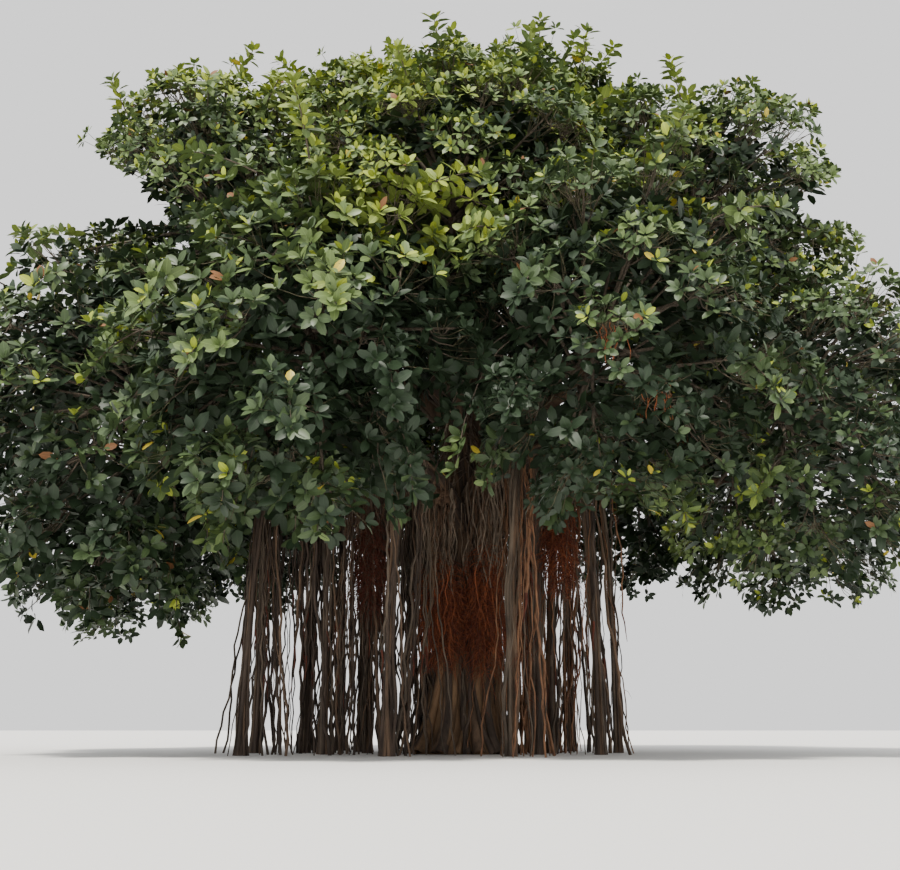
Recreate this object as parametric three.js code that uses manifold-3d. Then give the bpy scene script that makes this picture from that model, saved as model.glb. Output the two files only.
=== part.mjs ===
// A banyan tree: a fluted trunk with a root flare, boughs that fan out of it in three tiers, prop roots
// that have come down from the lowest boughs and rooted, bundles of aerial roots that still hang free,
// and masses of foliage that close into one wide dome.
//
// Units are millimetres. +Z is up, -Y is the front and +X the right of somebody who looks at the front.
// The origin is the middle of the flat cut under the trunk, at ground level.

import * as THREE from "three";
import { mergeVertices } from "three/addons/utils/BufferGeometryUtils.js";
import Module from "manifold-3d";

const wasm = await Module();
wasm.setup();
const { Manifold } = wasm;

// Clearance between two pieces that meet.
const GAP = 0.3;
// What a cutting copy is grown by, so that its flat sides clear the real limb by at least the gap.
const GROWTH = 0.4;

const TRUNK = {
  height: 7900,
  radius: 400,
  tipRadius: 120,
  taperFrom: 2600,
  flare: 250,
  flareHeight: 420,
  flute: 0.09,
  footFlute: 0.13,
  lean: 90,
  sides: 24,
  rings: 12,
};

// Each tier is a ring of foliage masses, and each mass hangs on a bough of its own. Across and deep are
// how far the middles of the masses stand from the trunk, sideways and from front to back, and aside moves
// the whole ring to the right. Front lift raises the masses at the front, the more steeply towards the
// middle the higher its power. Lobe gives the half sizes of a mass: outwards, round the ring, and up, with
// leftUp more at the tree's left side, where the crown hangs lowest.
const TIERS = [
  {
    name: "skirt",
    masses: 9,
    turn: 250,
    across: 4750,
    deep: 3900,
    aside: 0,
    height: 4100,
    frontLift: 750,
    frontPower: 4,
    backLift: 780,
    twigs: 14,
    lobe: { out: 2100, round: 2150, up: 2100, leftUp: 580 },
    bough: { leaves: 2750, stagger: 330, levels: 3, radius: 150, tip: 78, arch: 700, sway: 500 },
  },
  {
    name: "shoulder",
    masses: 6,
    turn: 30,
    across: 3900,
    deep: 2600,
    aside: -150,
    height: 7550,
    frontLift: -1000,
    frontPower: 1,
    backLift: 200,
    twigs: 14,
    lobe: { out: 1900, round: 2250, up: 2000, leftUp: 0 },
    bough: { leaves: 4150, stagger: 420, levels: 2, radius: 122, tip: 64, arch: 350, sway: 350 },
  },
  {
    name: "top",
    masses: 3,
    turn: 90,
    across: 1600,
    deep: 1150,
    aside: 0,
    height: 8600,
    frontLift: -150,
    frontPower: 1,
    backLift: 0,
    twigs: 21,
    lobe: { out: 1550, round: 1700, up: 1500, leftUp: 0 },
    bough: { leaves: 5250, stagger: 160, levels: 3, radius: 92, tip: 50, arch: 150, sway: 150 },
  },
];
const CROWN = { height: 9200, twigs: 24, lobe: { out: 1450, round: 1400, up: 1300 } };

// How far out each prop root comes down, as a share of its skirt bough's reach, bough by bough from the
// front left and on round the tree by way of the right.
const PROP_SHARES = [
  [0.66],
  [0.7],
  [0.36, 0.55],
  [0.38, 0.58],
  [0.42, 0.68],
  [0.55],
  [0.62, 0.86],
  [0.4, 0.6, 0.86],
  [0.62, 0.86],
];
const PROP = { radius: 52, topRadius: 37, foot: 34, footHeight: 240, lean: 190, sides: 5, rings: 6 };

// The bundles of hanging roots: which skirt bough each hangs on, how far out, and how low it reaches.
const BUNDLES = [
  { bough: 0, share: 0.27, lowest: 1050, strands: 9, spread: 250 },
  { bough: 1, share: 0.27, lowest: 950, strands: 9, spread: 250 },
  { bough: 2, share: 0.45, lowest: 1950, strands: 6, spread: 180 },
  { bough: 3, share: 0.24, lowest: 1500, strands: 6, spread: 150 },
  { bough: 8, share: 0.42, lowest: 1700, strands: 6, spread: 190 },
];
const STRAND = { radius: 34, tip: 13, heartRadius: 78, heartTip: 28, sides: 3, rings: 2 };
const KNOT = { along: 330, across: 150, down: 150 };

// A spray is one broad blade that stands for a rosette of leaves. Sprays open round the end of a twig,
// step by step back from its tip, splayed by an angle in degrees from the way the twig points.
const SPRAY = { length: 1180, width: 800, thickness: 28, widest: 0.56, fold: 60, droop: 170, splay: 62 };
const ROSETTE = { sprays: 3, first: 45, step: 85 };
const TWIG = { radius: 70, tip: 58, sides: 3, rings: 1 };
const STEM = { tipShare: 0.5, sides: 6, rings: 2 };
// Twigs aim at the points of a spiral round each lobe and stop short of it by the sprays' room. Square is
// the lobe's power, 2 for an ellipsoid and more for fuller corners. Shell is how deep the core lies in the
// lobe, entry is where the bough stops, as a share of the lobe, and margin is what each mass keeps from a
// parting.
const FOLIAGE = {
  square: 2.4,
  shell: 430,
  sprayRoom: 500,
  coreUneven: 0.13,
  entry: 0.7,
  margin: 14,
  overreach: 300,
  uneven: 0.05,
};

const GOLDEN_ANGLE = Math.PI * (3 - Math.sqrt(5));
const UP = new THREE.Vector3(0, 0, 1);

// A number from 0 to 1 that looks random and is the same on every run.
function noise(seed, k) {
  const wave = Math.sin(seed * 12.9898 + k * 78.233 + 4.1) * 43758.5453;
  return wave - Math.floor(wave);
}

function solidOf(geometry) {
  geometry.deleteAttribute("normal");
  geometry.deleteAttribute("uv");
  const merged = mergeVertices(geometry, 1e-3);
  return new Manifold(
    new wasm.Mesh({
      numProp: 3,
      vertProperties: merged.attributes.position.array,
      triVerts: new Uint32Array(merged.index.array),
    }),
  );
}

// The largest body of a solid, without the loose scraps that a cut can leave.
function largest(solid) {
  return solid.decompose().reduce((a, b) => (b.volume() > a.volume() ? b : a));
}

function meshOf(name, solid, material) {
  const made = solid.getMesh();
  const geometry = new THREE.BufferGeometry();
  geometry.setAttribute("position", new THREE.BufferAttribute(made.vertProperties, 3));
  geometry.setIndex(new THREE.BufferAttribute(made.triVerts, 1));
  geometry.computeVertexNormals();
  const mesh = new THREE.Mesh(geometry, material);
  mesh.name = name;
  return mesh;
}

// Moves every vertex of a geometry to where the function says.
function reshape(geometry, place) {
  const position = geometry.attributes.position;
  const p = new THREE.Vector3();
  for (let i = 0; i < position.count; i++) {
    p.fromBufferAttribute(position, i);
    position.setXYZ(i, ...place(p.clone()).toArray());
  }
  return geometry;
}

// A round limb: a cylinder of rings, each ring carried to its place along a curve and set to its radius.
// A copy that cuts others is grown all round and past the tip.
function limb(curve, radiusAt, sides, rings, growth = 0) {
  const frames = curve.computeFrenetFrames(rings, false);
  return reshape(new THREE.CylinderGeometry(1, 1, 1, sides, rings), (p) => {
    const share = p.y + 0.5;
    const ring = Math.round(share * rings);
    const radius = radiusAt(share) + growth;
    return curve
      .getPointAt(share)
      .addScaledVector(frames.tangents[ring], share === 1 ? growth : 0)
      .addScaledVector(frames.binormals[ring], p.x * radius)
      .addScaledVector(frames.normals[ring], p.z * radius);
  });
}

function taper(from, to) {
  return (share) => THREE.MathUtils.lerp(from, to, share);
}

// Trunk: the ribs run up it and stand out most at the foot, where they become the root flare.
function trunkRadius(angle, z) {
  const foot = Math.exp(-z / TRUNK.flareHeight);
  const rise = Math.max(0, z - TRUNK.taperFrom) / (TRUNK.height - TRUNK.taperFrom);
  const plain = THREE.MathUtils.lerp(TRUNK.radius, TRUNK.tipRadius, rise) + TRUNK.flare * foot;
  const ribs = 0.5 * Math.sin(5 * angle + 0.6) + 0.3 * Math.sin(7 * angle + 2.2) + 0.2 * Math.sin(2 * angle);
  return plain * (1 + (TRUNK.flute + TRUNK.footFlute * foot) * ribs);
}

// Where the trunk's middle is at a height: it starts upright and leans a little further up.
function trunkMiddle(z) {
  return new THREE.Vector3(TRUNK.lean * Math.sin((z / TRUNK.height) * Math.PI * 1.4), 0, z);
}

function trunkSolid(growth) {
  const geometry = new THREE.CylinderGeometry(1, 1, 1, TRUNK.sides, TRUNK.rings).rotateX(Math.PI / 2);
  return solidOf(
    reshape(geometry, (p) => {
      const z = TRUNK.height * Math.pow(p.z + 0.5, 1.6) + (p.z === 0.5 ? growth : 0);
      const angle = Math.atan2(p.y, p.x);
      const radius = Math.hypot(p.x, p.y) * (trunkRadius(angle, z) + growth);
      return trunkMiddle(z).add(new THREE.Vector3(radius * Math.cos(angle), radius * Math.sin(angle), 0));
    }),
  );
}

// Places of the masses and of the boughs that carry them.
function placeOf(tier, k) {
  const lobe = tier.lobe;
  const seed = tier.turn + 17;
  const azimuth = THREE.MathUtils.degToRad(tier.turn + (360 * k) / tier.masses);
  const [side, depth] = [Math.cos(azimuth), Math.sin(azimuth)];
  const lift = depth < 0 ? (-depth) ** tier.frontPower * tier.frontLift : depth * tier.backLift;
  const stretch = 1 + FOLIAGE.uneven * (2 * noise(seed, k) - 1);
  return {
    twigs: tier.twigs,
    outward: new THREE.Vector3(side, depth, 0),
    round: new THREE.Vector3(-depth, side, 0),
    centre: new THREE.Vector3(
      tier.aside + tier.across * side * stretch,
      tier.deep * depth * stretch,
      tier.height + lift + 200 * (2 * noise(seed, k + 40) - 1),
    ),
    half: new THREE.Vector3(lobe.out, lobe.round, lobe.up + lobe.leftUp * Math.min(0, side) ** 2),
  };
}

function boughCurve(tier, k, place) {
  const { leaves, stagger, levels, arch, sway } = tier.bough;
  const start = trunkMiddle(leaves + stagger * (k % levels));
  const inward = start.clone().sub(place.centre).normalize();
  const tip = place.centre.clone().addScaledVector(inward, FOLIAGE.entry * lobeReach(place, inward));
  const bend = start.clone().lerp(tip, 0.5).addScaledVector(UP, arch);
  bend.addScaledVector(place.round, sway * (noise(tier.turn, k + 80) - 0.5));
  return new THREE.QuadraticBezierCurve3(start, bend, tip);
}

// How far a lobe reaches from its middle along a direction.
function lobeReach(place, direction) {
  const { outward, round, half } = place;
  const shares = [direction.dot(outward) / half.x, direction.dot(round) / half.y, direction.z / half.z];
  const sum = shares.reduce((total, share) => total + Math.abs(share) ** FOLIAGE.square, 0);
  return sum ** (-1 / FOLIAGE.square);
}

// Each mass keeps to its own side of the planes that part its lobe from the other lobes.
function partings(place, places) {
  const size = (q) => (q.half.x + q.half.y + q.half.z) / 3;
  return places
    .filter((other) => other !== place)
    .map((other) => {
      const between = other.centre.clone().sub(place.centre);
      const apart = between.length();
      const share = 0.5 + (size(place) ** 2 - size(other) ** 2) / (2 * apart * apart);
      const on = place.centre.clone().addScaledVector(between, share);
      return new THREE.Plane().setFromNormalAndCoplanarPoint(between.normalize(), on);
    });
}

function insideSpace(place, planes, p) {
  const offset = p.clone().sub(place.centre);
  const reach = offset.length();
  const far = reach > lobeReach(place, offset.clone().normalize()) + FOLIAGE.overreach;
  return !far && p.z > 0 && planes.every((plane) => plane.distanceToPoint(p) < -FOLIAGE.margin);
}

// The dense middle of a mass: a lumpy ball one shell smaller than the lobe, which stops short of the
// partings.
function coreSolid(place, planes, seed) {
  const geometry = new THREE.IcosahedronGeometry(1, 1);
  return solidOf(
    reshape(geometry, (p) => {
      const lump = 1 + FOLIAGE.coreUneven * (2 * noise(seed, Math.round(30 * p.x + 17 * p.y + 11 * p.z)) - 1);
      const arm = place.outward
        .clone()
        .multiplyScalar(p.x * (place.half.x - FOLIAGE.shell))
        .addScaledVector(place.round, p.y * (place.half.y - FOLIAGE.shell))
        .addScaledVector(UP, p.z * (place.half.z - FOLIAGE.shell))
        .multiplyScalar(lump);
      const shares = planes.map((plane) => {
        const towards = plane.normal.dot(arm);
        const room = -plane.distanceToPoint(place.centre) - 2 * FOLIAGE.margin;
        return towards > room ? room / towards : 1;
      });
      return place.centre.clone().addScaledVector(arm, Math.min(1, ...shares));
    }),
  );
}

// A spray of leaves as one pointed blade of eight faces, folded along its rib and drooping at its tip.
function sprayGeometry(root, along, face) {
  const side = face.clone().cross(along).normalize();
  const normal = along.clone().cross(side);
  return reshape(new THREE.OctahedronGeometry(1, 0), (p) => {
    const share = p.x === 0 ? SPRAY.widest : (p.x + 1) / 2;
    const rise = p.z * 0.5 * SPRAY.thickness + Math.abs(p.y) * SPRAY.fold - SPRAY.droop * share * share;
    return root
      .clone()
      .addScaledVector(along, SPRAY.length * share)
      .addScaledVector(side, p.y * 0.5 * SPRAY.width)
      .addScaledVector(normal, rise);
  });
}

// Twig k of a mass leaves the stem part of the way up it and aims at the k-th point of a golden spiral
// on the lobe. It stops where its sprays can open without leaving the lobe.
function twigCurve(place, stem, k, seed) {
  const z = 1 - (2 * k + 1) / place.twigs;
  const turn = k * GOLDEN_ANGLE + seed;
  const flat = Math.sqrt(1 - z * z);
  const direction = place.outward
    .clone()
    .multiplyScalar(Math.cos(turn) * flat * place.half.x)
    .addScaledVector(place.round, Math.sin(turn) * flat * place.half.y)
    .addScaledVector(UP, z * place.half.z)
    .normalize();
  const reach = lobeReach(place, direction) - FOLIAGE.sprayRoom + 150 * noise(seed, k);
  const tip = place.centre.clone().addScaledVector(direction, reach);
  return new THREE.LineCurve3(stem.getPoint(0.75 + 0.25 * noise(seed, k + 20)), tip);
}

// The sprays of a twig, each rooted in its middle and turned by a third of a round from the last.
function rosetteGeometries(curve, seed) {
  const tip = curve.getPoint(1);
  const along = curve.getTangent(1);
  const aside = along.clone().cross(UP).normalize();
  const blades = [];
  for (let k = 0; k < ROSETTE.sprays; k++) {
    const turn = (2 * Math.PI * (k + 0.3 * noise(seed, k))) / ROSETTE.sprays + seed;
    const axis = aside.clone().applyAxisAngle(along, turn);
    const splay = THREE.MathUtils.degToRad(SPRAY.splay + 14 * (noise(seed, k + 9) - 0.5));
    const root = tip.clone().addScaledVector(along, -ROSETTE.first - ROSETTE.step * k);
    blades.push(sprayGeometry(root, along.clone().applyAxisAngle(axis, splay), along));
  }
  return blades;
}

// A mass of foliage: the core and the stem, and every twig and spray that stays in the mass's own space
// and clear of the limbs.
function foliageSolid(place, planes, boughTip, seed, limbs) {
  const { point, along, radius } = boughTip;
  const start = point.clone().addScaledVector(along, GAP);
  const bend = start.clone().addScaledVector(along, 0.4 * start.distanceTo(place.centre));
  const stem = new THREE.QuadraticBezierCurve3(start, bend, place.centre.clone());
  const clear = (geometry) => {
    const corner = new THREE.Vector3();
    const position = geometry.attributes.position;
    for (let i = 0; i < position.count; i++) {
      if (!insideSpace(place, planes, corner.fromBufferAttribute(position, i))) return null;
    }
    const solid = solidOf(geometry);
    return limbs.intersect(solid).isEmpty() ? solid : null;
  };
  const parts = [
    solidOf(limb(stem, taper(radius, radius * STEM.tipShare), STEM.sides, STEM.rings)),
    coreSolid(place, planes, seed).subtract(limbs),
  ];
  for (let k = 0; k < place.twigs; k++) {
    const curve = twigCurve(place, stem, k, seed);
    const twig = clear(limb(curve, taper(TWIG.radius, TWIG.tip), TWIG.sides, TWIG.rings));
    if (!twig) continue;
    const sprays = rosetteGeometries(curve, seed + k).map(clear).filter(Boolean);
    if (sprays.length > 0) parts.push(twig, ...sprays);
  }
  return largest(Manifold.union(parts));
}

// A prop root stands on the ground with a slight foot and runs up into the underside of its bough.
function propSolid(bough, share, seed, growth) {
  const top = bough.getPoint(share);
  const swing = new THREE.Vector3(noise(seed, 1) - 0.5, noise(seed, 2) - 0.5, 0);
  const foot = new THREE.Vector3(top.x, top.y, 0).addScaledVector(swing, 2 * PROP.lean);
  const curve = new THREE.QuadraticBezierCurve3(foot, foot.clone().addScaledVector(UP, 0.55 * top.z), top);
  const stout = 0.8 + 0.5 * noise(seed, 3);
  const radiusAt = (s) => {
    const foot = PROP.foot * Math.exp((-s * top.z) / PROP.footHeight);
    return stout * (THREE.MathUtils.lerp(PROP.radius, PROP.topRadius, s) + foot);
  };
  const geometry = limb(curve, radiusAt, PROP.sides, PROP.rings, growth);
  const level = (p) => (p.z < PROP.footHeight / 2 ? p.setZ(0) : p);
  return solidOf(reshape(geometry, level));
}

// A bundle of hanging roots: a knot that hugs the underside of the bough, a stout heart under it, and
// strands that come out of the knot on all sides and hang down to different depths.
function bundleSolid(bundle, bough, boughRadius, seed) {
  const at = bough.getPoint(bundle.share);
  const along = bough.getTangent(bundle.share).setZ(0).normalize();
  const across = new THREE.Vector3(-along.y, along.x, 0);
  const knotMiddle = at.clone().addScaledVector(UP, -boughRadius);
  const knot = solidOf(
    reshape(new THREE.IcosahedronGeometry(1, 0), (p) =>
      knotMiddle
        .clone()
        .addScaledVector(along, p.x * KNOT.along)
        .addScaledVector(across, p.y * KNOT.across)
        .addScaledVector(UP, p.z * KNOT.down),
    ),
  );
  const strand = (offset, lowest, from, to) => {
    const top = knotMiddle.clone().add(offset.clone().multiplyScalar(0.35));
    const end = new THREE.Vector3(at.x + offset.x, at.y + offset.y, lowest);
    const bend = end.clone().setZ(THREE.MathUtils.lerp(lowest, top.z, 0.65));
    const curve = new THREE.QuadraticBezierCurve3(top, bend, end);
    return solidOf(limb(curve, taper(from, to), STRAND.sides, STRAND.rings));
  };
  const parts = [knot, strand(new THREE.Vector3(), bundle.lowest, STRAND.heartRadius, STRAND.heartTip)];
  for (let k = 0; k < bundle.strands; k++) {
    const turn = (k / bundle.strands) * 2 * Math.PI + seed;
    const offset = along
      .clone()
      .multiplyScalar(bundle.spread * Math.cos(turn))
      .addScaledVector(across, bundle.spread * Math.sin(turn) * (0.6 + 0.4 * noise(seed, k)));
    const lowest = THREE.MathUtils.lerp(bundle.lowest, knotMiddle.z, 0.1 + 0.4 * noise(seed, k + 10));
    parts.push(strand(offset, lowest, STRAND.radius, STRAND.tip));
  }
  return Manifold.union(parts);
}

const bark = new THREE.MeshStandardMaterial({ color: 0x6b5a49, roughness: 0.9, metalness: 0 });
const rootBark = new THREE.MeshStandardMaterial({ color: 0x7a634b, roughness: 0.9, metalness: 0 });
const hangingRoot = new THREE.MeshStandardMaterial({ color: 0x5e2a1c, roughness: 0.95, metalness: 0 });
const leaf = new THREE.MeshStandardMaterial({ color: 0x2f4a22, roughness: 0.55, metalness: 0 });

const tree = new THREE.Group();
const limbMeshes = [];
const grown = [];

// Adds a limb, cut back to the gap from every limb that stands already, and keeps its grown copy for
// the cuts that follow.
function addLimb(name, material, plainSolid, grownSolid) {
  const near = grown.length ? Manifold.union(grown) : null;
  const solid = near ? largest(plainSolid.subtract(near)) : plainSolid;
  grown.push(grownSolid);
  limbMeshes.push(meshOf(name, solid, material));
}

addLimb("trunk", bark, trunkSolid(0), trunkSolid(GROWTH));

// Boughs: one for each mass, round for round from the skirt up.
const masses = [];
for (const tier of TIERS) {
  for (let k = 0; k < tier.masses; k++) {
    const place = placeOf(tier, k);
    const curve = boughCurve(tier, k, place);
    const bough = tier.bough;
    const solid = (growth) => solidOf(limb(curve, taper(bough.radius, bough.tip), 6, 4, growth));
    addLimb(`${tier.name}_bough_${k + 1}`, bark, solid(0), solid(GROWTH));
    const tip = { point: curve.getPoint(1), along: curve.getTangent(1).normalize(), radius: bough.tip };
    masses.push({ name: `${tier.name}_foliage_${k + 1}`, place, curve, tip, bough });
  }
}
const crownPlace = {
  twigs: CROWN.twigs,
  outward: new THREE.Vector3(1, 0, 0),
  round: new THREE.Vector3(0, 1, 0),
  centre: trunkMiddle(TRUNK.height).setZ(CROWN.height),
  half: new THREE.Vector3(CROWN.lobe.out, CROWN.lobe.round, CROWN.lobe.up),
};
const trunkTip = { point: trunkMiddle(TRUNK.height), along: UP, radius: 0.75 * TRUNK.tipRadius };
masses.push({ name: "crown_foliage", place: crownPlace, tip: trunkTip });

// Prop roots and hanging bundles, all on the skirt boughs.
let props = 0;
PROP_SHARES.forEach((shares, k) => {
  for (const share of shares) {
    props += 1;
    const solid = (growth) => propSolid(masses[k].curve, share, props, growth);
    addLimb(`prop_root_${props}`, rootBark, solid(0), solid(GROWTH));
  }
});
BUNDLES.forEach((bundle, k) => {
  const { curve, bough } = masses[bundle.bough];
  const radius = THREE.MathUtils.lerp(bough.radius, bough.tip, bundle.share);
  const solid = bundleSolid(bundle, curve, radius, k + 1);
  addLimb(`hanging_roots_${k + 1}`, hangingRoot, solid, solid);
});
tree.add(...limbMeshes);

// Masses of foliage, each in its own space.
const limbs = Manifold.union(grown);
const places = masses.map((mass) => mass.place);
masses.forEach(({ name, place, tip }, k) => {
  tree.add(meshOf(name, foliageSolid(place, partings(place, places), tip, k + 1, limbs), leaf));
});

export default tree;
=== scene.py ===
"""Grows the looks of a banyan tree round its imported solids.

Everything is in metres, in the shared frame: the origin is the middle of the flat cut under the
trunk, +Z is up and -Y is the side that the photo shows. The limbs and the masses of foliage follow the
same rule as the part's source, and go on from there to finer twigs, strands and leaves.
"""

import math

import bpy
import numpy as np
from bpy.props import FloatProperty, FloatVectorProperty, IntProperty, PointerProperty
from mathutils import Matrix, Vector


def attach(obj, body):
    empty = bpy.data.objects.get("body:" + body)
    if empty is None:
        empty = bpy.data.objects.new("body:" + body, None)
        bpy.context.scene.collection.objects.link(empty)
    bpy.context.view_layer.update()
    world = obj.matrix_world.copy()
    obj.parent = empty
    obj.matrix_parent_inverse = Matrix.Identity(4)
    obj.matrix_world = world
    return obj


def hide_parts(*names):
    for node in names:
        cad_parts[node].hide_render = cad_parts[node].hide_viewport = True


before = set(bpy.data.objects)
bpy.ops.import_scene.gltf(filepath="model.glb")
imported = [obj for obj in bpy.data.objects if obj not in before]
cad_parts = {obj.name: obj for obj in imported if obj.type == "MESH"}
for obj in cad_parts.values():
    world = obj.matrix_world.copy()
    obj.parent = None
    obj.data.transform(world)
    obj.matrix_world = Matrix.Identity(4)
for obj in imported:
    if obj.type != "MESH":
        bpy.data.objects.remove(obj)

bl_info = {
    "name": "Banyan tree",
    "version": (1, 0, 0),
    "blender": (4, 5, 0),
    "location": "View3D > Sidebar > Banyan",
    "description": "Grows a banyan tree with prop roots, hanging roots and rosettes of leaves",
    "category": "Add Mesh",
}

UP = np.array([0.0, 0.0, 1.0])
LEVEL = np.array([1.0, 1.0, 0.0])
GOLDEN_ANGLE = math.pi * (3 - math.sqrt(5))

# The limbs and the masses, as in the part's source but in metres. The angle of the lean is that of the
# sine it follows from foot to tip.
TRUNK = {
    "height": 7.9, "radius": 0.40, "tip_radius": 0.12, "taper_from": 2.6, "flare": 0.25,
    "flare_height": 0.42, "flute": 0.09, "foot_flute": 0.13, "lean": 0.09, "lean_angle": 1.4 * math.pi,
}
TIERS = [
    {
        "name": "skirt", "masses": 9, "turn": 250, "across": 4.75, "deep": 3.9, "aside": 0.0,
        "height": 4.1, "front_lift": 0.75, "front_power": 4, "back_lift": 0.78, "left_up": 0.58,
        "half": (2.1, 2.15, 2.1), "leaves": 2.75, "stagger": 0.33, "levels": 3,
        "radius": 0.15, "tip": 0.078, "arch": 0.7, "sway": 0.5,
    },
    {
        "name": "shoulder", "masses": 6, "turn": 30, "across": 3.9, "deep": 2.6, "aside": -0.15,
        "height": 7.55, "front_lift": -1.0, "front_power": 1, "back_lift": 0.2, "left_up": 0.0,
        "half": (1.9, 2.25, 2.0), "leaves": 4.15, "stagger": 0.42, "levels": 2,
        "radius": 0.122, "tip": 0.064, "arch": 0.35, "sway": 0.35,
    },
    {
        "name": "top", "masses": 3, "turn": 90, "across": 1.6, "deep": 1.15, "aside": 0.0,
        "height": 8.6, "front_lift": -0.15, "front_power": 1, "back_lift": 0.0, "left_up": 0.0,
        "half": (1.55, 1.7, 1.5), "leaves": 5.25, "stagger": 0.16, "levels": 3,
        "radius": 0.092, "tip": 0.05, "arch": 0.15, "sway": 0.15,
    },
]
CROWN = {"height": 9.2, "half": (1.45, 1.4, 1.3), "stem_radius": 0.09}

# Square is the power of a lobe, 2 for an ellipsoid and more for fuller corners. Uneven is how far a mass
# strays from its ring, entry is where its bough stops, as a share of the lobe, and a stem runs on from
# there, bent after a share of its length and tapering to a share of its radius.
SQUARE = 2.4
UNEVEN = 0.05
ENTRY = 0.7
STEM = {"bend": 0.4, "tip": 0.5}

# How far out each prop root comes down, as a share of its skirt bough, bough by bough from the front left
# and on round the tree by way of the right.
PROP_SHARES = [
    [0.66], [0.7], [0.36, 0.55], [0.38, 0.58], [0.42, 0.68],
    [0.55], [0.62, 0.86], [0.4, 0.6, 0.86], [0.62, 0.86],
]
PROP = {
    "radius": 0.052, "top_radius": 0.037, "foot": 0.034, "foot_height": 0.24, "lean": 0.19, "straight": 0.55,
}

# The bundles of hanging roots: the skirt bough that each hangs on, how far out, how low it reaches, its
# half width, and the shares of it that start on the trunk and that are rusty.
BUNDLES = [
    {"bough": 0, "share": 0.27, "lowest": 1.05, "spread": 0.25, "from_trunk": 0.5, "rust": 0.6},
    {"bough": 1, "share": 0.27, "lowest": 0.95, "spread": 0.25, "from_trunk": 0.5, "rust": 0.6},
    {"bough": 2, "share": 0.45, "lowest": 1.95, "spread": 0.18, "from_trunk": 0, "rust": 0.5},
    {"bough": 3, "share": 0.24, "lowest": 1.5, "spread": 0.15, "from_trunk": 0, "rust": 0.4},
    {"bough": 8, "share": 0.42, "lowest": 1.7, "spread": 0.19, "from_trunk": 0, "rust": 0.0},
]
KNOT = np.array([0.33, 0.15, 0.15])

# How thickly thin roots hang from each skirt bough, round the tree from the front left, between which places
# across the eye sees them, and under which boughs they are rusty, and under which they get painted shade as
# dark bark.
THICKET = np.array([0.9, 0.7, 1.2, 1.2, 1.2, 1.9, 2.4, 3.1, 3.1])
THICKET_ENDS = (-2.85, 2.15)
RUSTY_BOUGHS = (1, 2, 3, 4)
PAINTED_SHADE_BOUGHS = (4, 5, 6, 7)

# Thin roots: how many hang close together, the share that have reached the ground, how far these and
# the others swing aside, how high the others end, how long their red tip is, and the height of waves
# and kinks. Then the rootlets on them: between which shares of a root they sit, and how long and how
# thick they are.
THIN = {
    "together": 3, "grounded": 0.7, "swing": (0.85, 0.3), "ends": (0.5, 2.0), "tip": 0.25,
    "wave": 0.035, "kink": 0.012,
}
FUZZ = {"places": (0.12, 0.72), "length": (0.05, 0.18), "radii": np.array([0.0035, 0.0028, 0.0015])}

# The strands of a bundle: the share that leave their bough further out, between which heights others
# leave the trunk, and the height of waves and kinks. Then the rootlets of its beard: how long they are,
# how steeply they grow down or up, how far they droop, and how much of the bundle they fill. Its knot
# has loops of such radii.
STRAND = {"outer": 0.3, "trunk_heights": (3.5, 4.8), "wave": 0.034, "kink": 0.013}
BEARD = {"length": (0.09, 0.26), "slope": (-1.3, 0.4), "droop": 0.45, "fill": 0.66}
LOOPS = {"count": 30, "radii": (0.016, 0.036)}

# A tuft of young roots: how many hang in it, how long and of what radii.
TUFT = {"count": 16, "length": (0.16, 0.50), "radii": (0.004, 0.007)}

# The radii that roots vary between, from the stoutest kind to the finest. The radius of a twining root is
# about its girth, and it stands off its limb by up to loosest.
CLASPING_RADII = (0.016, 0.050)
THIN_RADII = (0.006, 0.022)
STRAND_RADII = (0.0045, 0.012)
ROOTLET_RADII = (0.0024, 0.005)
BOUGH_TWINING = {"count": 12, "girth": 0.024, "loosest": 0.03}
PROP_TWINING = {"count": 8, "girth": 0.019, "loosest": 0.07}

# The numbers of the materials on bark, on hanging roots, on twigs and on leaves.
BARK_GREY, BARK_BROWN, BARK_DARK, BARK_OCHRE, BARK_MAROON, BARK_WARM = range(6)
ROOT_GREY, ROOT_BROWN, ROOT_RUST, ROOT_MAROON = range(4)
TWIG_GREY, TWIG_GREEN, TWIG_ORANGE = range(3)
# Leaf numbers 0 to 3 are the four copies of one green with painted shade and painted light, darkest first.
LEAF_YOUNG, LEAF_YELLOW, LEAF_BROWN = range(4, 7)

# The eye of the photo: how far it stands in front of the trunk, how far aside and how high, its tilt up
# from straight down, and its lens in millimetres for a picture 36 wide.
EYE = {"distance": 15.0, "aside": -0.15, "height": 0.3, "tilt": math.radians(104.9), "lens": 44.3}
PICTURE_WIDTH = 36

# The gap of sky at the crown's left and right, between the skirt and the shoulder, as the eye sees it: a
# wedge that opens outward from an edge.
WAIST = {"left": 4.35, "right": 5.05, "level": 7.5, "edge": 0.4, "opening": 0.7}

# Patches of the crown's front whose leaves get painted light, or painted shade where the gain is below zero:
# across, up, half width, and how much lighter.
PAINTED_LIGHT_PATCHES = [
    (-0.9, 7.8, 1.0, 0.9),
    (-1.5, 9.2, 1.2, 0.2),
    (-3.3, 4.4, 0.7, 0.3),
    (-4.4, 2.9, 1.6, 0.16),
    (0.0, 4.0, 0.35, 1.1),
    (3.3, 2.7, 1.4, 0.5),
    (3.4, 5.2, 2.2, -0.14),
    (-0.1, 5.2, 1.3, -0.9),
]

# Where the eye sees the orange young roots: across and up.
YOUNG_ROOTS = (2.35, 5.1)

# A leaf's rows of points between its root and its tip: how far along each lies, how wide the leaf is
# there, and the points across it.
FULL_LEAF = {"rows": [0.22, 0.53, 0.83], "widths": [0.80, 1.0, 0.70], "across": [-1, 0, 1]}
PLAIN_LEAF = {"rows": [0.3, 0.72], "widths": [0.95, 0.85], "across": [-1, 1]}

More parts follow.
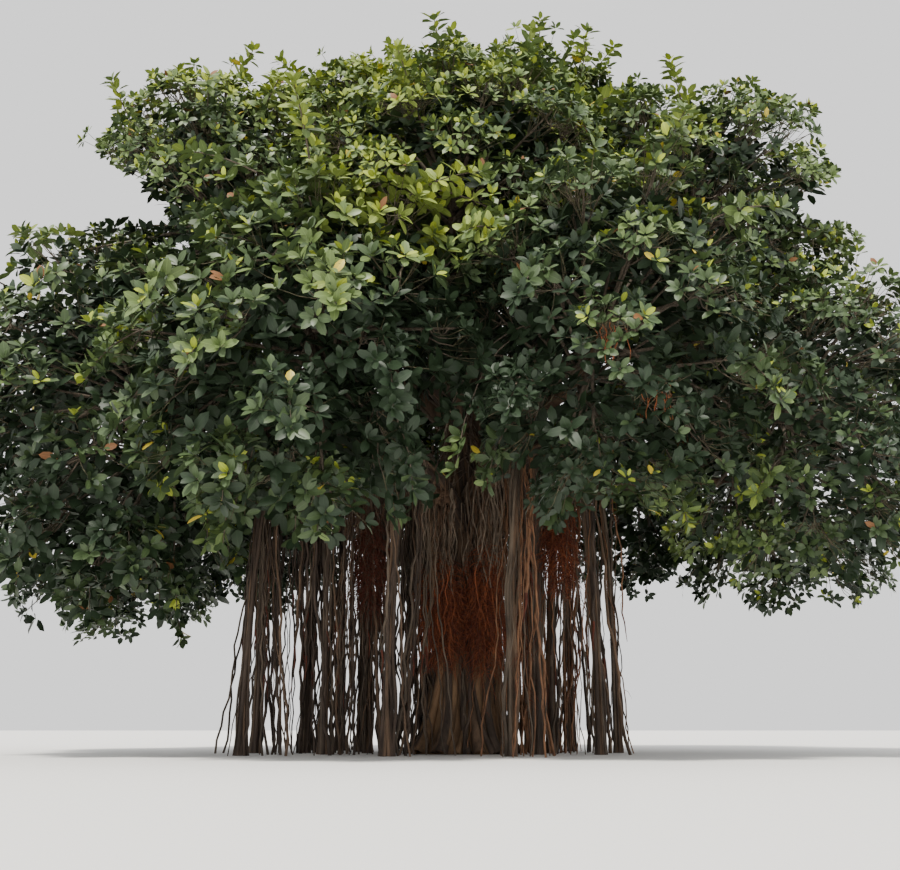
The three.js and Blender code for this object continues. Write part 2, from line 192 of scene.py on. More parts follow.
# The skirt's front, near the eye, has full leaves, and its left droops. Its right also sends two sprays
# down before the trunk, to the given ends. The rest of the skirt and the tiers above have more and smaller
# leaves.
NEAR = {
    "form": FULL_LEAF, "scale": 1.0, "rosettes": 1.0, "inner": 1.0, "leaders": 1.7, "sink": 0.62,
    "droop": 0.45, "ends": [],
}
ENDS = [(-0.1, -4.5, 2.76), (-0.22, -4.2, 3.15)]
RIGHT = {**NEAR, "scale": 0.78, "rosettes": 1.5, "leaders": 2.5, "droop": 1.2, "ends": ENDS}
DROOPING = {**NEAR, "inner": 1.8, "leaders": 3.4, "sink": 0.55, "droop": 1.7}
AROUND = {**NEAR, "form": PLAIN_LEAF, "scale": 0.78, "rosettes": 2.0}
ABOVE = {**AROUND, "scale": 0.72, "rosettes": 2.2, "leaders": 2.2, "sink": 0.78}
HABITS = {0: DROOPING, 1: RIGHT, 7: {**AROUND, "inner": 1.8}, 8: DROOPING}

# The leaves in a rosette, their size and how much painted light their colour gets, painted shade where it is
# below zero: in the clumps' shade, and on sprays.
SHADED = (6, 1.3, -0.7)
ON_SPRAYS = (7, 1.05, 0.12)

# Twigs: the sectors of a clump that each have a side shoot, and the radii of branches, side shoots, twigs
# and long sprays from their root to their end.
SECTORS = 5
BRANCH_RADII = np.linspace(0.026, 0.009, 12)
SHOOT_RADII = np.linspace(0.010, 0.006, 4)
TWIG_RADII = np.linspace(0.0055, 0.0035, 3)
SPRAY_RADII = np.linspace(0.011, 0.005, 8)


def length_setting(name, description, default, least):
    """A length that a user can change."""
    return FloatProperty(name=name, description=description, default=default, min=least, unit="LENGTH")


def count_setting(name, description, default, least=0):
    """A number of things that a user can change."""
    return IntProperty(name=name, description=description, default=default, min=least)


def color_setting(name, description, default):
    """A colour that a user can change."""
    return FloatVectorProperty(
        name=name, description=description, default=default, min=0, max=1, subtype="COLOR"
    )


class BanyanSettings(bpy.types.PropertyGroup):
    """Sizes and counts that shape the looks of the tree"""

    leaf_length: length_setting("Leaf length", "Length of a full-grown leaf", 0.154, 0.05)
    leaf_width: length_setting("Leaf width", "Width of a full-grown leaf", 0.083, 0.02)
    leaves: count_setting("Leaves", "Leaves in one rosette", 8, 3)
    rosettes: count_setting("Rosettes", "Rosettes in one clump", 15, 4)
    clumps: count_setting("Clumps", "Points of the spiral that the branches of a mass aim at", 50, 12)
    clump_radius: length_setting("Clump radius", "Half width of a clump of rosettes", 0.5, 0.2)
    leaders: count_setting("Leaders", "Long sprays that stand out of each mass", 6)
    inner_rosettes: count_setting("Inner rosettes", "Shaded rosettes under each clump", 8)
    open_side: FloatProperty(
        name="Open side",
        description="Share of rosettes left out on the right of the crown, where the sky shows through",
        default=0.3,
        min=0.0,
        max=0.8,
        subtype="FACTOR",
    )
    strands: count_setting("Strands", "Hanging roots in a full bundle", 80, 10)
    rootlets: count_setting("Rootlets", "Short red rootlets in the beard of a full bundle", 1500)
    clasping_roots: count_setting("Clasping roots", "Roots that have grown down along the trunk", 42)
    thin_roots: count_setting("Thin roots", "Thin roots that hang from a skirt bough, on average", 38)
    fuzz: count_setting("Fuzz", "Short rootlets on each rusty thin root", 16)
    young_roots: count_setting("Young roots", "Tufts of orange roots in each mass above rusty roots", 3)


class BanyanColors(bpy.types.PropertyGroup):
    """Colours of the leaves, the bark and the roots"""

    # The first four leaf colours are one green with painted shade and painted light: deep shade, half shade,
    # plain light and sun.
    leaf_painted_deep_shade: color_setting("Deep leaf", "Leaves in deep shade", (0.018, 0.034, 0.015))
    leaf_painted_half_shade: color_setting("Dark leaf", "Leaves in half shade", (0.050, 0.080, 0.031))
    leaf_painted_mid_light: color_setting("Middle leaf", "Leaves in plain light", (0.104, 0.152, 0.048))
    leaf_painted_sunlight: color_setting("Light leaf", "Leaves in the sun", (0.185, 0.240, 0.052))
    leaf_young: color_setting("Young leaf", "Young yellow-green leaves", (0.270, 0.325, 0.040))
    leaf_yellow: color_setting("Yellow leaf", "Old leaves that have turned yellow", (0.46, 0.36, 0.04))
    leaf_brown: color_setting("Brown leaf", "Dry leaves", (0.17, 0.075, 0.028))
    bark_grey: color_setting("Grey bark", "The greyish roots that clasp and twine", (0.15, 0.112, 0.080))
    bark_brown: color_setting("Brown bark", "The trunk, some boughs and some roots", (0.16, 0.10, 0.062))
    # Dark bark is a tone of its own on the trunk, the boughs and some roots, and painted shade on thin roots
    # under the boughs at the back.
    bark_dark: color_setting("Dark bark", "Other boughs and roots, in the shade", (0.085, 0.058, 0.042))
    bark_ochre: color_setting("Ochre bark", "The trunk's foot", (0.22, 0.13, 0.068))
    root_grey: color_setting("Grey root", "Hanging roots above", (0.24, 0.18, 0.13))
    root_brown: color_setting("Brown root", "Other hanging roots above", (0.15, 0.085, 0.05))
    root_rust: color_setting("Rusty root", "The bright roots of a beard", (0.33, 0.085, 0.028))
    root_maroon: color_setting("Maroon root", "The dark roots of a beard", (0.15, 0.036, 0.018))
    root_warm: color_setting("Warm root", "Thin roots with a rusty tint", (0.27, 0.13, 0.065))
    root_tip: color_setting("Root tip", "The growing end of a young root", (0.42, 0.12, 0.04))
    twig_grey: color_setting("Grey twig", "Branches inside the crown", (0.15, 0.118, 0.085))
    twig_green: color_setting("Green twig", "Twigs that carry leaves", (0.12, 0.105, 0.055))


def noise(seed, k):
    """A number from 0 to 1 that looks random: the fraction of a large multiple of a sine."""
    wave = np.sin(seed * 12.9898 + k * 78.233 + 4.1) * 43758.5453
    return wave - np.floor(wave)


def jitter(seed, k):
    """The same number less a half, so from -0.5 to 0.5."""
    return noise(seed, k) - 0.5


def scatter(seed, *keys):
    """Vectors with a jitter along each axis, one key for each."""
    return np.stack([jitter(seed, key) for key in keys], axis=-1)


def between(low, high, share):
    """The blend low + (high - low) share."""
    return low + (high - low) * share


def unit(vectors):
    """Vectors divided by their own lengths."""
    return vectors / np.maximum(np.linalg.norm(vectors, axis=-1, keepdims=True), 1e-9)


def bezier(a, b, c, shares):
    """Points of a quadratic curve: the blend (1-t)^2 a + 2t(1-t) b + t^2 c."""
    t = np.asarray(shares)[..., None]
    return (1 - t) ** 2 * a + 2 * t * (1 - t) * b + t**2 * c


def curves(starts, bends, ends, steps):
    """One quadratic curve for each row of points, as a path of some steps."""
    return bezier(starts[:, None], bends[:, None], ends[:, None], np.linspace(0, 1, steps))


def circle(sides):
    """Angles at even steps round a circle."""
    return np.linspace(0, 2 * math.pi, sides, endpoint=False)


def polar(radius, angle, z):
    """Points at a radius and an angle round the Z axis, and at a height."""
    return np.stack(np.broadcast_arrays(radius * np.cos(angle), radius * np.sin(angle), z), axis=-1)


def turned(first, second, angle):
    """Vectors turned by an angle from the first of two axes towards the second."""
    return first * np.cos(angle)[..., None] + second * np.sin(angle)[..., None]


def golden_sphere(count, seed):
    """Directions spread evenly over a ball: equal steps in height, turned by the golden angle."""
    k = np.arange(count)
    z = 1 - (2 * k + 1) / count
    return polar(np.sqrt(1 - z * z), k * GOLDEN_ANGLE + seed, z)


def across_of(directions):
    """Two unit vectors at right angles to each direction and to each other."""
    reference = np.eye(3)[np.argmin(np.abs(directions), axis=-1)]
    first = unit(np.cross(directions, reference))
    return first, np.cross(directions, first)


def trunk_radius(angle, z):
    """Radius of the trunk: a taper and a flare that dies away upwards, times ribs that stand out most
    at the foot."""
    foot = np.exp(-z / TRUNK["flare_height"])
    rise = np.maximum(0, z - TRUNK["taper_from"]) / (TRUNK["height"] - TRUNK["taper_from"])
    plain = between(TRUNK["radius"], TRUNK["tip_radius"], rise) + TRUNK["flare"] * foot
    ribs = 0.5 * np.sin(5 * angle + 0.6) + 0.3 * np.sin(7 * angle + 2.2) + 0.2 * np.sin(2 * angle)
    return plain * (1 + (TRUNK["flute"] + TRUNK["foot_flute"] * foot) * ribs)


def trunk_middle(z):
    """The middle of the trunk at a height: it leans aside along a sine."""
    x = TRUNK["lean"] * np.sin(np.asarray(z) / TRUNK["height"] * TRUNK["lean_angle"])
    return np.stack([x, 0 * x, np.asarray(z, float)], axis=-1)


def round_trunk(radius, angle, z):
    """Points at a radius and an angle round the trunk's middle, at a height."""
    return trunk_middle(z) + polar(radius, angle, 0)


class Mass:
    """One mass of foliage: its lobe, the bough that carries it, and the stem that runs on into it."""

    def __init__(self, name, seed, outward, around, centre, half):
        self.name = name
        self.seed = seed
        self.axes = np.array([outward, around, UP])
        self.centre = np.asarray(centre, float)
        self.half = np.asarray(half, float)
        self.bough = None

    def reach(self, directions):
        """How far the lobe reaches from its middle along each direction: an ellipsoid, but with a power
        somewhat above 2, which fills its corners."""
        return self.depth(directions) ** -1

    def depth(self, offsets):
        """Where offsets from the middle lie, from 0 at the middle to 1 on the lobe."""
        return (np.abs(offsets @ self.axes.T / self.half) ** SQUARE).sum(axis=-1) ** (1 / SQUARE)

    def room(self, directions, masses):
        """How far each direction runs before it meets the plane that parts this lobe from another."""
        nearest = np.full(len(directions), 1e3)
        for other in masses:
            if other is self:
                continue
            way = other.centre - self.centre
            apart = np.linalg.norm(way)
            share = 0.5 + (self.half.mean() ** 2 - other.half.mean() ** 2) / (2 * apart**2)
            towards = directions @ (way / apart)
            distance = np.where(towards > 1e-6, share * apart / np.maximum(towards, 1e-6), 1e3)
            nearest = np.minimum(nearest, distance)
        return nearest

    def set_stem(self, start, along, radius):
        """The stem is a curve that leaves its start along a direction and ends in the lobe's middle."""
        bend = start + along * STEM["bend"] * np.linalg.norm(self.centre - start)
        self.stem = (start, bend, self.centre)
        self.stem_radius = radius


def place_mass(tier, k):
    """A mass's directions outward and around, its centre and its half sizes, by its place in its tier."""
    seed = tier["turn"] + 17
    azimuth = math.radians(tier["turn"] + 360 * k / tier["masses"])
    side, depth = math.cos(azimuth), math.sin(azimuth)
    lift = (-depth) ** tier["front_power"] * tier["front_lift"] if depth < 0 else depth * tier["back_lift"]
    stretch = 1 + 2 * UNEVEN * jitter(seed, k)
    centre = (
        tier["aside"] + tier["across"] * side * stretch,
        tier["deep"] * depth * stretch,
        tier["height"] + lift + 0.4 * jitter(seed, k + 40),
    )
    out, around, up = tier["half"]
    half = (out, around, up + tier["left_up"] * min(0, side) ** 2)
    return (side, depth, 0), (-depth, side, 0), centre, half


def grow_masses():
    """Every mass with its bough, in the order of the part's source."""
    masses = []
    for tier in TIERS:
        for k in range(tier["masses"]):
            mass = Mass(f"{tier['name']}_foliage_{k + 1}", len(masses) + 1, *place_mass(tier, k))
            start = trunk_middle(tier["leaves"] + tier["stagger"] * (k % tier["levels"]))
            inward = unit(start - mass.centre)
            tip = mass.centre + inward * ENTRY * mass.reach(inward[None])[0]
            aside = mass.axes[1] * tier["sway"] * jitter(tier["turn"], k + 80)
            bend = (start + tip) / 2 + UP * tier["arch"] + aside
            mass.bough = (start, bend, tip)
            mass.bough_radius = (tier["radius"], tier["tip"])
            mass.set_stem(tip, unit(tip - bend), tier["tip"])
            masses.append(mass)
    top = trunk_middle(TRUNK["height"])
    centre = (top[0], top[1], CROWN["height"])
    crown = Mass("crown_foliage", len(masses) + 1, (1, 0, 0), (0, 1, 0), centre, CROWN["half"])
    crown.set_stem(top, UP, CROWN["stem_radius"])
    masses.append(crown)
    return masses


def prop_curve(mass, share, seed):
    """A prop root: a curve that starts straight up from its foot and leans over to a point of its bough."""
    top = bezier(*mass.bough, share)
    foot = (top + 2 * PROP["lean"] * scatter(seed, 1, 2, 3)) * LEVEL
    return foot, foot + UP * PROP["straight"] * top[2], top


def frames_of(paths):
    """Two unit vectors at right angles to each path at each of its points, and to each other."""
    tangents = unit(np.gradient(paths, axis=-2))
    lie = np.abs(tangents.mean(axis=-2))
    reference = np.eye(3)[np.argmin(lie, axis=-1)][..., None, :]
    across = unit(reference - (reference * tangents).sum(-1, keepdims=True) * tangents)
    return across, np.cross(tangents, across)


def ring_faces(n, m, sides):
    """Squares between each ring of points and the next, for n tubes of m rings."""
    ring = np.arange(n * m * sides).reshape(n, m, sides)
    following = np.roll(ring, -1, axis=2)
    squares = [ring[:, :-1], following[:, :-1], following[:, 1:], ring[:, 1:]]
    return np.stack(squares, axis=-1).reshape(-1, 4)


def tubes(paths, radii, sides, slots):
    """Round tubes: each point of a path carries a ring of points at its radius, at right angles to the
    path. Paths are (n, m, 3), radii fit (n, m) or are (n, m, sides), and material numbers fit
    (n, m - 1). Returns points, faces and material numbers."""
    n, m = paths.shape[:2]
    across, beside = frames_of(paths)
    spokes = turned(across[:, :, None], beside[:, :, None], circle(sides))
    radii = radii if radii.ndim == 3 else radii[..., None]
    points = paths[:, :, None] + spokes * radii[..., None]
    slots = np.broadcast_to(slots, (n, m - 1)).reshape(-1)
    return points.reshape(-1, 3), ring_faces(n, m, sides), np.repeat(slots, sides)


def add_piece(name, parts, materials, nodes, uv=None):
    """Makes one mesh object of (points, faces, material numbers), which rides on the frame and stands for
    the named CAD nodes."""
    every_point, every_face, every_slot = zip(*parts)
    starts = np.cumsum([0] + [len(points) for points in every_point[:-1]])
    points, slots = np.concatenate(every_point), np.concatenate(every_slot)
    faces = np.concatenate([some + start for some, start in zip(every_face, starts)])
    points[:, 2] = np.maximum(points[:, 2], 0)
    mesh = bpy.data.meshes.new(name)
    mesh.vertices.add(len(points))
    mesh.vertices.foreach_set("co", points.astype(np.float32).ravel())
    mesh.loops.add(faces.size)
    mesh.loops.foreach_set("vertex_index", faces.astype(np.int32).ravel())
    mesh.polygons.add(len(faces))
    mesh.polygons.foreach_set("loop_start", np.arange(0, faces.size, faces.shape[1], dtype=np.int32))
    mesh.polygons.foreach_set("material_index", slots.astype(np.int32))
    mesh.polygons.foreach_set("use_smooth", np.ones(len(faces), bool))
    if uv is not None:
        layer = mesh.uv_layers.new(name="leaf")
        layer.data.foreach_set("uv", uv.astype(np.float32).ravel())
    mesh.update(calc_edges=True)
    mesh.validate()
    for material in materials:
        mesh.materials.append(material)
    piece = bpy.data.objects.new(name, mesh)
    bpy.context.scene.collection.objects.link(piece)
    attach(piece, "root")
    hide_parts(*nodes)


def new_material(name, roughness):
    """The named material and its shader, or no shader where the material is there already."""
    material = bpy.data.materials.get(name)
    if material is not None:
        return material, None
    material = bpy.data.materials.new(name)
    material.use_nodes = True
    shader = material.node_tree.nodes["Principled BSDF"]
    shader.inputs["Roughness"].default_value = roughness
    return material, shader


def fill(tree, target, value):
    """Links a node's input to another node's output, or gives it a plain value."""
    if isinstance(value, bpy.types.NodeSocket):
        tree.links.new(value, target)
    else:
        target.default_value = value


def add_node(tree, kind, **inputs):
    """Adds a shader node and fills its inputs, named with _ for a space."""
    node = tree.nodes.new(f"ShaderNode{kind}")
    for name, value in inputs.items():
        fill(tree, node.inputs[name.replace("_", " ")], value)
    return node


def math_node(tree, operation, *values):
    """The output of a node that works out one operation on its values."""
    node = tree.nodes.new("ShaderNodeMath")
    node.operation = operation
    for target, value in zip(node.inputs, values):
        fill(tree, target, value)
    return node.outputs[0]


def mix_colors(tree, factor, first, second):
    """The output of a node that blends two colours."""
    node = tree.nodes.new("ShaderNodeMix")
    node.data_type = "RGBA"
    fill(tree, node.inputs["Factor"], factor)
    fill(tree, node.inputs[6], (*first, 1))
    fill(tree, node.inputs[7], (*second, 1))
    return node.outputs[2]


def color_named(name):
    """The colour that is set for a material."""
    return np.array(getattr(bpy.context.scene.banyan_colors, name))


def leaf_material(name, roughness, gloss):
    """A glossy leaf with a pale rib along its middle and faint side veins, drawn from its own UV."""
    material, shader = new_material(name, roughness)
    if shader is None:
        return material
    rib_width, rib_strength = 0.028, 0.8
    vein_count, vein_slant, vein_width, vein_strength = 9.0, 5.0, 0.12, 0.18
    vein_lightness = 1.6
    shader.inputs["Specular IOR Level"].default_value = gloss
    tree = material.node_tree
    uv = add_node(tree, "UVMap")
    uv.uv_map = "leaf"
    split = add_node(tree, "SeparateXYZ", Vector=uv.outputs["UV"])
    aside = math_node(tree, "ABSOLUTE", math_node(tree, "SUBTRACT", split.outputs["X"], 0.5))
    rib = math_node(tree, "MULTIPLY", math_node(tree, "LESS_THAN", aside, rib_width), rib_strength)
    along = math_node(tree, "MULTIPLY", split.outputs["Y"], vein_count)
    slant = math_node(tree, "SUBTRACT", along, math_node(tree, "MULTIPLY", aside, vein_slant))
    fine = math_node(tree, "LESS_THAN", math_node(tree, "FRACT", slant), vein_width)
    veins = math_node(tree, "MAXIMUM", rib, math_node(tree, "MULTIPLY", fine, vein_strength))
    color = color_named(name)
    fill(tree, shader.inputs["Base Color"], mix_colors(tree, veins, color, vein_lightness * color))
    return material


def bark_material(name, scale=24.0):
    """Bark that runs along Z: stretched noise mixes the colour with a tone a third as light, and raises
    fine ridges."""
    material, shader = new_material(name, 0.88)
    if shader is None:
        return material
    tree = material.node_tree
    where = add_node(tree, "TexCoord").outputs["Object"]
    stretched = add_node(tree, "Mapping", Vector=where, Scale=(1, 1, 0.22)).outputs["Vector"]
    grain = add_node(tree, "TexNoise", Vector=stretched, Scale=scale, Detail=6, Roughness=0.65).outputs["Fac"]
    spread = add_node(tree, "MapRange", Value=grain, From_Min=0.36, From_Max=0.64).outputs["Result"]
    ridges = add_node(tree, "Bump", Height=grain, Strength=0.5, Distance=0.02).outputs["Normal"]
    color = color_named(name)
    fill(tree, shader.inputs["Base Color"], mix_colors(tree, spread, 0.33 * color, color))
    fill(tree, shader.inputs["Normal"], ridges)
    return material


def bark_set():
    """Greyish bark, brown bark, dark bark and the ochre of the trunk's foot."""
    return [bark_material(name, 9.0) for name in ("bark_grey", "bark_brown", "bark_dark", "bark_ochre")]


def root_set():
    """Hanging roots: grey-brown and brown above, rust and dark red in the beard below."""
    return [bark_material(name) for name in ("root_grey", "root_brown", "root_rust", "root_maroon")]


def twig_set():
    """Grey-brown branches, green-brown twigs, and the orange of a young root's growing end."""
    return [bark_material(name) for name in ("twig_grey", "twig_green", "root_tip")]


def leaf_set():
    """One green in four copies with painted shade and painted light, from deep shade to sunlit, then young
    yellow-green, then the few yellow and brown old leaves, each with its roughness and its gloss."""
    return [
        leaf_material("leaf_painted_deep_shade", 0.5, 0.34),
        leaf_material("leaf_painted_half_shade", 0.44, 0.34),
        leaf_material("leaf_painted_mid_light", 0.42, 0.3),
        leaf_material("leaf_painted_sunlight", 0.5, 0.2),
        leaf_material("leaf_young", 0.5, 0.2),
        leaf_material("leaf_yellow", 0.38, 0.34),
        leaf_material("leaf_brown", 0.6, 0.34),
    ]


def relief(angle, along, seed):
    """Rope-like ridges, from -1 to 1: rectified sines that wind slowly round as they run along."""
    drift = 0.35 * np.sin(1.7 * along + seed)
    ropes = np.abs(np.sin(0.5 * (9 * angle + 1.1 * along + drift * 3 + seed)))
    fine = np.abs(np.sin(0.5 * (23 * angle - 1.9 * along + 2 * drift)))
    grain = np.sin(41 * angle + 6 * along) * np.sin(17 * along + 3 * angle + seed)
    return 0.62 * (2 * np.sqrt(ropes) - 1) + 0.25 * (2 * fine - 1) + 0.13 * grain


def trunk_surface():
    """The trunk as a grid of angle and height: its radius plus the ropes' relief, shallower further up."""
    sides, rings, rope_height, rope_fade, ochre_height = 112, 190, 0.038, 6, 1.7
    turn, z = np.meshgrid(circle(sides), TRUNK["height"] * np.linspace(0, 1, rings) ** 1.25)
    radius = trunk_radius(turn, z) + rope_height * np.exp(-z / rope_fade) * relief(turn, z, 0.7)
    radius[-1] *= 0.3
    low = z[:-1] + 0.5 * np.sin(3 * turn[:-1]) < ochre_height
    streaks = np.where(noise(np.floor(turn[:-1] * 4), 3) < 0.5, BARK_BROWN, BARK_DARK)
    slots = np.where(low, BARK_OCHRE, streaks)
    return round_trunk(radius, turn, z).reshape(-1, 3), ring_faces(1, rings, sides), slots.reshape(-1)


def clasping_roots(count):
    """Roots that grew down along the trunk: each winds a little as it follows the trunk's surface."""
    k = np.arange(count)[:, None]
    share = np.linspace(0, 1, 60)
    z = between(3.2, 6.8, noise(k, 1)) * share**1.15
    angle = k * GOLDEN_ANGLE + jitter(k, 2) * 0.5 * z + 0.12 * np.sin(2.1 * z + 9 * noise(k, 3))
    radius = between(*CLASPING_RADII, noise(k, 4)) * (1.25 - 0.7 * share) * (1 + 0.5 * np.exp(-z / 0.2))
    off = trunk_radius(angle, z) + 0.35 * radius + 0.06 * noise(k, 5) * np.exp(-z / 0.3)
    which = noise(k, 6)
    slots = np.where((z[:, :-1] < 1.4) & (which < 0.5), BARK_OCHRE, np.digitize(which, [0.4, 0.75]))
    return tubes(round_trunk(off, angle, z), radius, 6, slots)


def any_bark(share):
    """Grey, brown or dark bark, by a share from 0 to 1."""
    return BARK_GREY + (3 * share).astype(int)


def limb_relief(angle, along, seed):
    """Low ridges of a round limb, from -1 to 1: a few sines that wind round as they run along."""
    winding = np.sin(5 * angle + 0.9 * along + seed) + 0.7 * np.sin(3 * angle - 1.4 * along + 2 * seed)
    return (winding + 0.5 * np.sin(2.3 * along + seed)) / 2.2


def twining_roots(path, radius, seed, count, girth, loosest):
    """Thinner roots grown together with a limb: each keeps to the limb's skin or leaves it a little here
    and there, and winds slowly round it."""
    shares = np.linspace(0, 1, len(path))
    k = np.arange(count)[:, None]
    turn = k * GOLDEN_ANGLE + seed + 4.8 * jitter(seed, k) * shares
    loose = np.sin(math.pi * shares * (2 + 2 * noise(seed, k + 5))) ** 2
    off = radius * 0.92 + loosest * noise(seed, k + 9) ** 3 * loose
    roots = path + off[..., None] * turned(*frames_of(path), turn)
    thin = girth * (0.4 + noise(seed, k + 20)) * (1.1 - 0.3 * shares)
    return tubes(roots, thin, 5, any_bark(noise(seed, k + 30)))


def bough_surface(mass):
    """A bough and the stem it runs on into, as one tube with a low relief and a collar at the trunk, and
    the roots that have grown along the bough."""
    sides = 20
    shares = np.linspace(0, 1, 40)
    onward = np.linspace(0, 1, 16)[1:]
    path = np.concatenate([bezier(*mass.bough, shares), bezier(*mass.stem, onward)])
    collar = 1 + 0.45 * np.exp(-((shares / 0.15) ** 2))
    bough_radius = between(*mass.bough_radius, shares) * collar
    radius = np.concatenate([bough_radius, mass.stem_radius * between(1, STEM["tip"], onward)])
    along = np.cumsum(np.r_[0, np.linalg.norm(np.diff(path, axis=0), axis=1)])[:, None]
    ridged = radius[:, None] * (1 + 0.12 * limb_relief(circle(sides), along, mass.seed))
    limb = tubes(path[None], ridged[None], sides, BARK_DARK if mass.seed % 2 else BARK_BROWN)
    near = slice(0, len(shares), 2)
    return [limb, twining_roots(path[near], radius[near], mass.seed, **BOUGH_TWINING)]


def stem_surface(mass):
    """A stem alone, as one tube that tapers evenly."""
    shares = np.linspace(0, 1, 16)
    radius = mass.stem_radius * between(1, STEM["tip"], shares)
    return tubes(bezier(*mass.stem, shares)[None], radius, 10, BARK_BROWN)


def prop_surface(mass, share, seed):
    """A prop root with a slight foot, and thinner roots that twine round it from bough to ground."""
    sides = 14
    curve = prop_curve(mass, share, seed)
    shares = np.linspace(0, 1, 36)
    path = bezier(*curve, shares)
    foot = PROP["foot"] * np.exp(-shares * curve[2][2] / PROP["foot_height"])
    stout = between(0.66, 1.16, noise(seed, 3))
    radius = stout * (between(PROP["radius"], PROP["top_radius"], shares) + foot)
    ridged = radius[:, None] * (0.92 + 0.16 * limb_relief(circle(sides), 1.5 * path[:, 2:], seed))
    limb = tubes(path[None], ridged[None], sides, BARK_BROWN + int(2 * noise(seed, 7)))
    return [limb, twining_roots(path, radius, seed, **PROP_TWINING)]


def thin_roots(masses, per_bough):
    """Thin roots that hang from the skirt boughs, wavy and often close together. Seven in ten have reached
    the ground, and the others end above it in a red tip. Returns the roots as one surface, their paths,
    and which of them are rusty."""
    bough = np.repeat(np.arange(len(masses)), np.round(per_bough * THICKET).astype(int))
    i = np.arange(len(bough))
    place = 0.09 + 0.84 * noise(np.floor(i / THIN["together"]), 30) ** 1.7 + 0.06 * jitter(i, 31)
    tops = bezier(*np.array([mass.bough for mass in masses])[bough].swapaxes(0, 1), place)
    across = seen(tops)[0]
    kept = (across > THICKET_ENDS[0]) & (across < THICKET_ENDS[1])
    tops, bough, i = tops[kept], bough[kept], i[kept][:, None]

    grounded = noise(i, 32) < THIN["grounded"]
    low = np.where(grounded, 0, between(*THIN["ends"], noise(i, 33)))
    swing = scatter(i, 34, 35, 0) * LEVEL * np.where(grounded, *THIN["swing"])[..., None]
    share = np.linspace(0, 1, 24)
    z = between(low, tops[:, 2:], share)
    wave = THIN["wave"] * noise(i, 36) * np.sin(z * between(3, 7, noise(i, 37)) + 6 * noise(i, 38))
    kink = THIN["kink"] * np.sin(z * between(13, 22, noise(i, 39)) + i)
    bends = np.stack([wave + kink, 0.8 * (kink - wave), z], axis=-1)
    path = tops[:, None] * LEVEL + swing * (1 - share[:, None]) ** 1.5 + bends
    radius = between(*THIN_RADII, noise(i, 40) ** 2) * (1.1 - 0.3 * share)
    radius = radius * np.where(grounded, 1, np.minimum(1, 0.3 + 6 * share))

    rusty = np.isin(bough, RUSTY_BOUGHS)[:, None] & (noise(i, 42) < 0.62)
    # Painted shade: under the boughs at the back, three in five thin roots take the dark bark for the shade
    # they hang in.
    shaded = np.isin(bough, PAINTED_SHADE_BOUGHS)[:, None] & (noise(i, 43) < 0.6)
    tone = np.where(rusty, BARK_WARM, np.where(shaded, BARK_DARK, any_bark(noise(i, 41))))
    slots = np.where(~grounded & (z[:, :-1] < low + THIN["tip"]), BARK_MAROON, tone)
    return tubes(path, radius, 4, slots), path, rusty[:, 0]


def root_fuzz(paths, per_root):
    """Short rootlets that curl out and down from points along each of the paths."""
    k = np.arange(len(paths) * per_root)
    at = between(*FUZZ["places"], noise(k, 51)) * (paths.shape[1] - 1)
    below = np.floor(at).astype(int)
    root = k // max(per_root, 1)
    start = between(paths[root, below], paths[root, below + 1], (at - below)[:, None])
    k = k[:, None]
    t = np.linspace(0, 1, len(FUZZ["radii"]))
    turn = 2 * math.pi * noise(k, 52) + 1.6 * t * jitter(k, 53)
    length = between(*FUZZ["length"], noise(k, 54)) * t
    rootlets = start[:, None] + length[..., None] * polar(0.7, turn, 0.15 - 0.9 * t)
    return tubes(rootlets, FUZZ["radii"], 3, BARK_MAROON)


def hook_on(mass, share):
    """Where a bundle hangs from a bough: a point of the bough's middle, the bough's radius there, and the
    level directions along the bough and across it."""
    point, onward = bezier(*mass.bough, [share, share + 0.01])
    along = unit((onward - point) * LEVEL)
    return point, between(*mass.bough_radius, share), along, np.array([-along[1], along[0], 0])


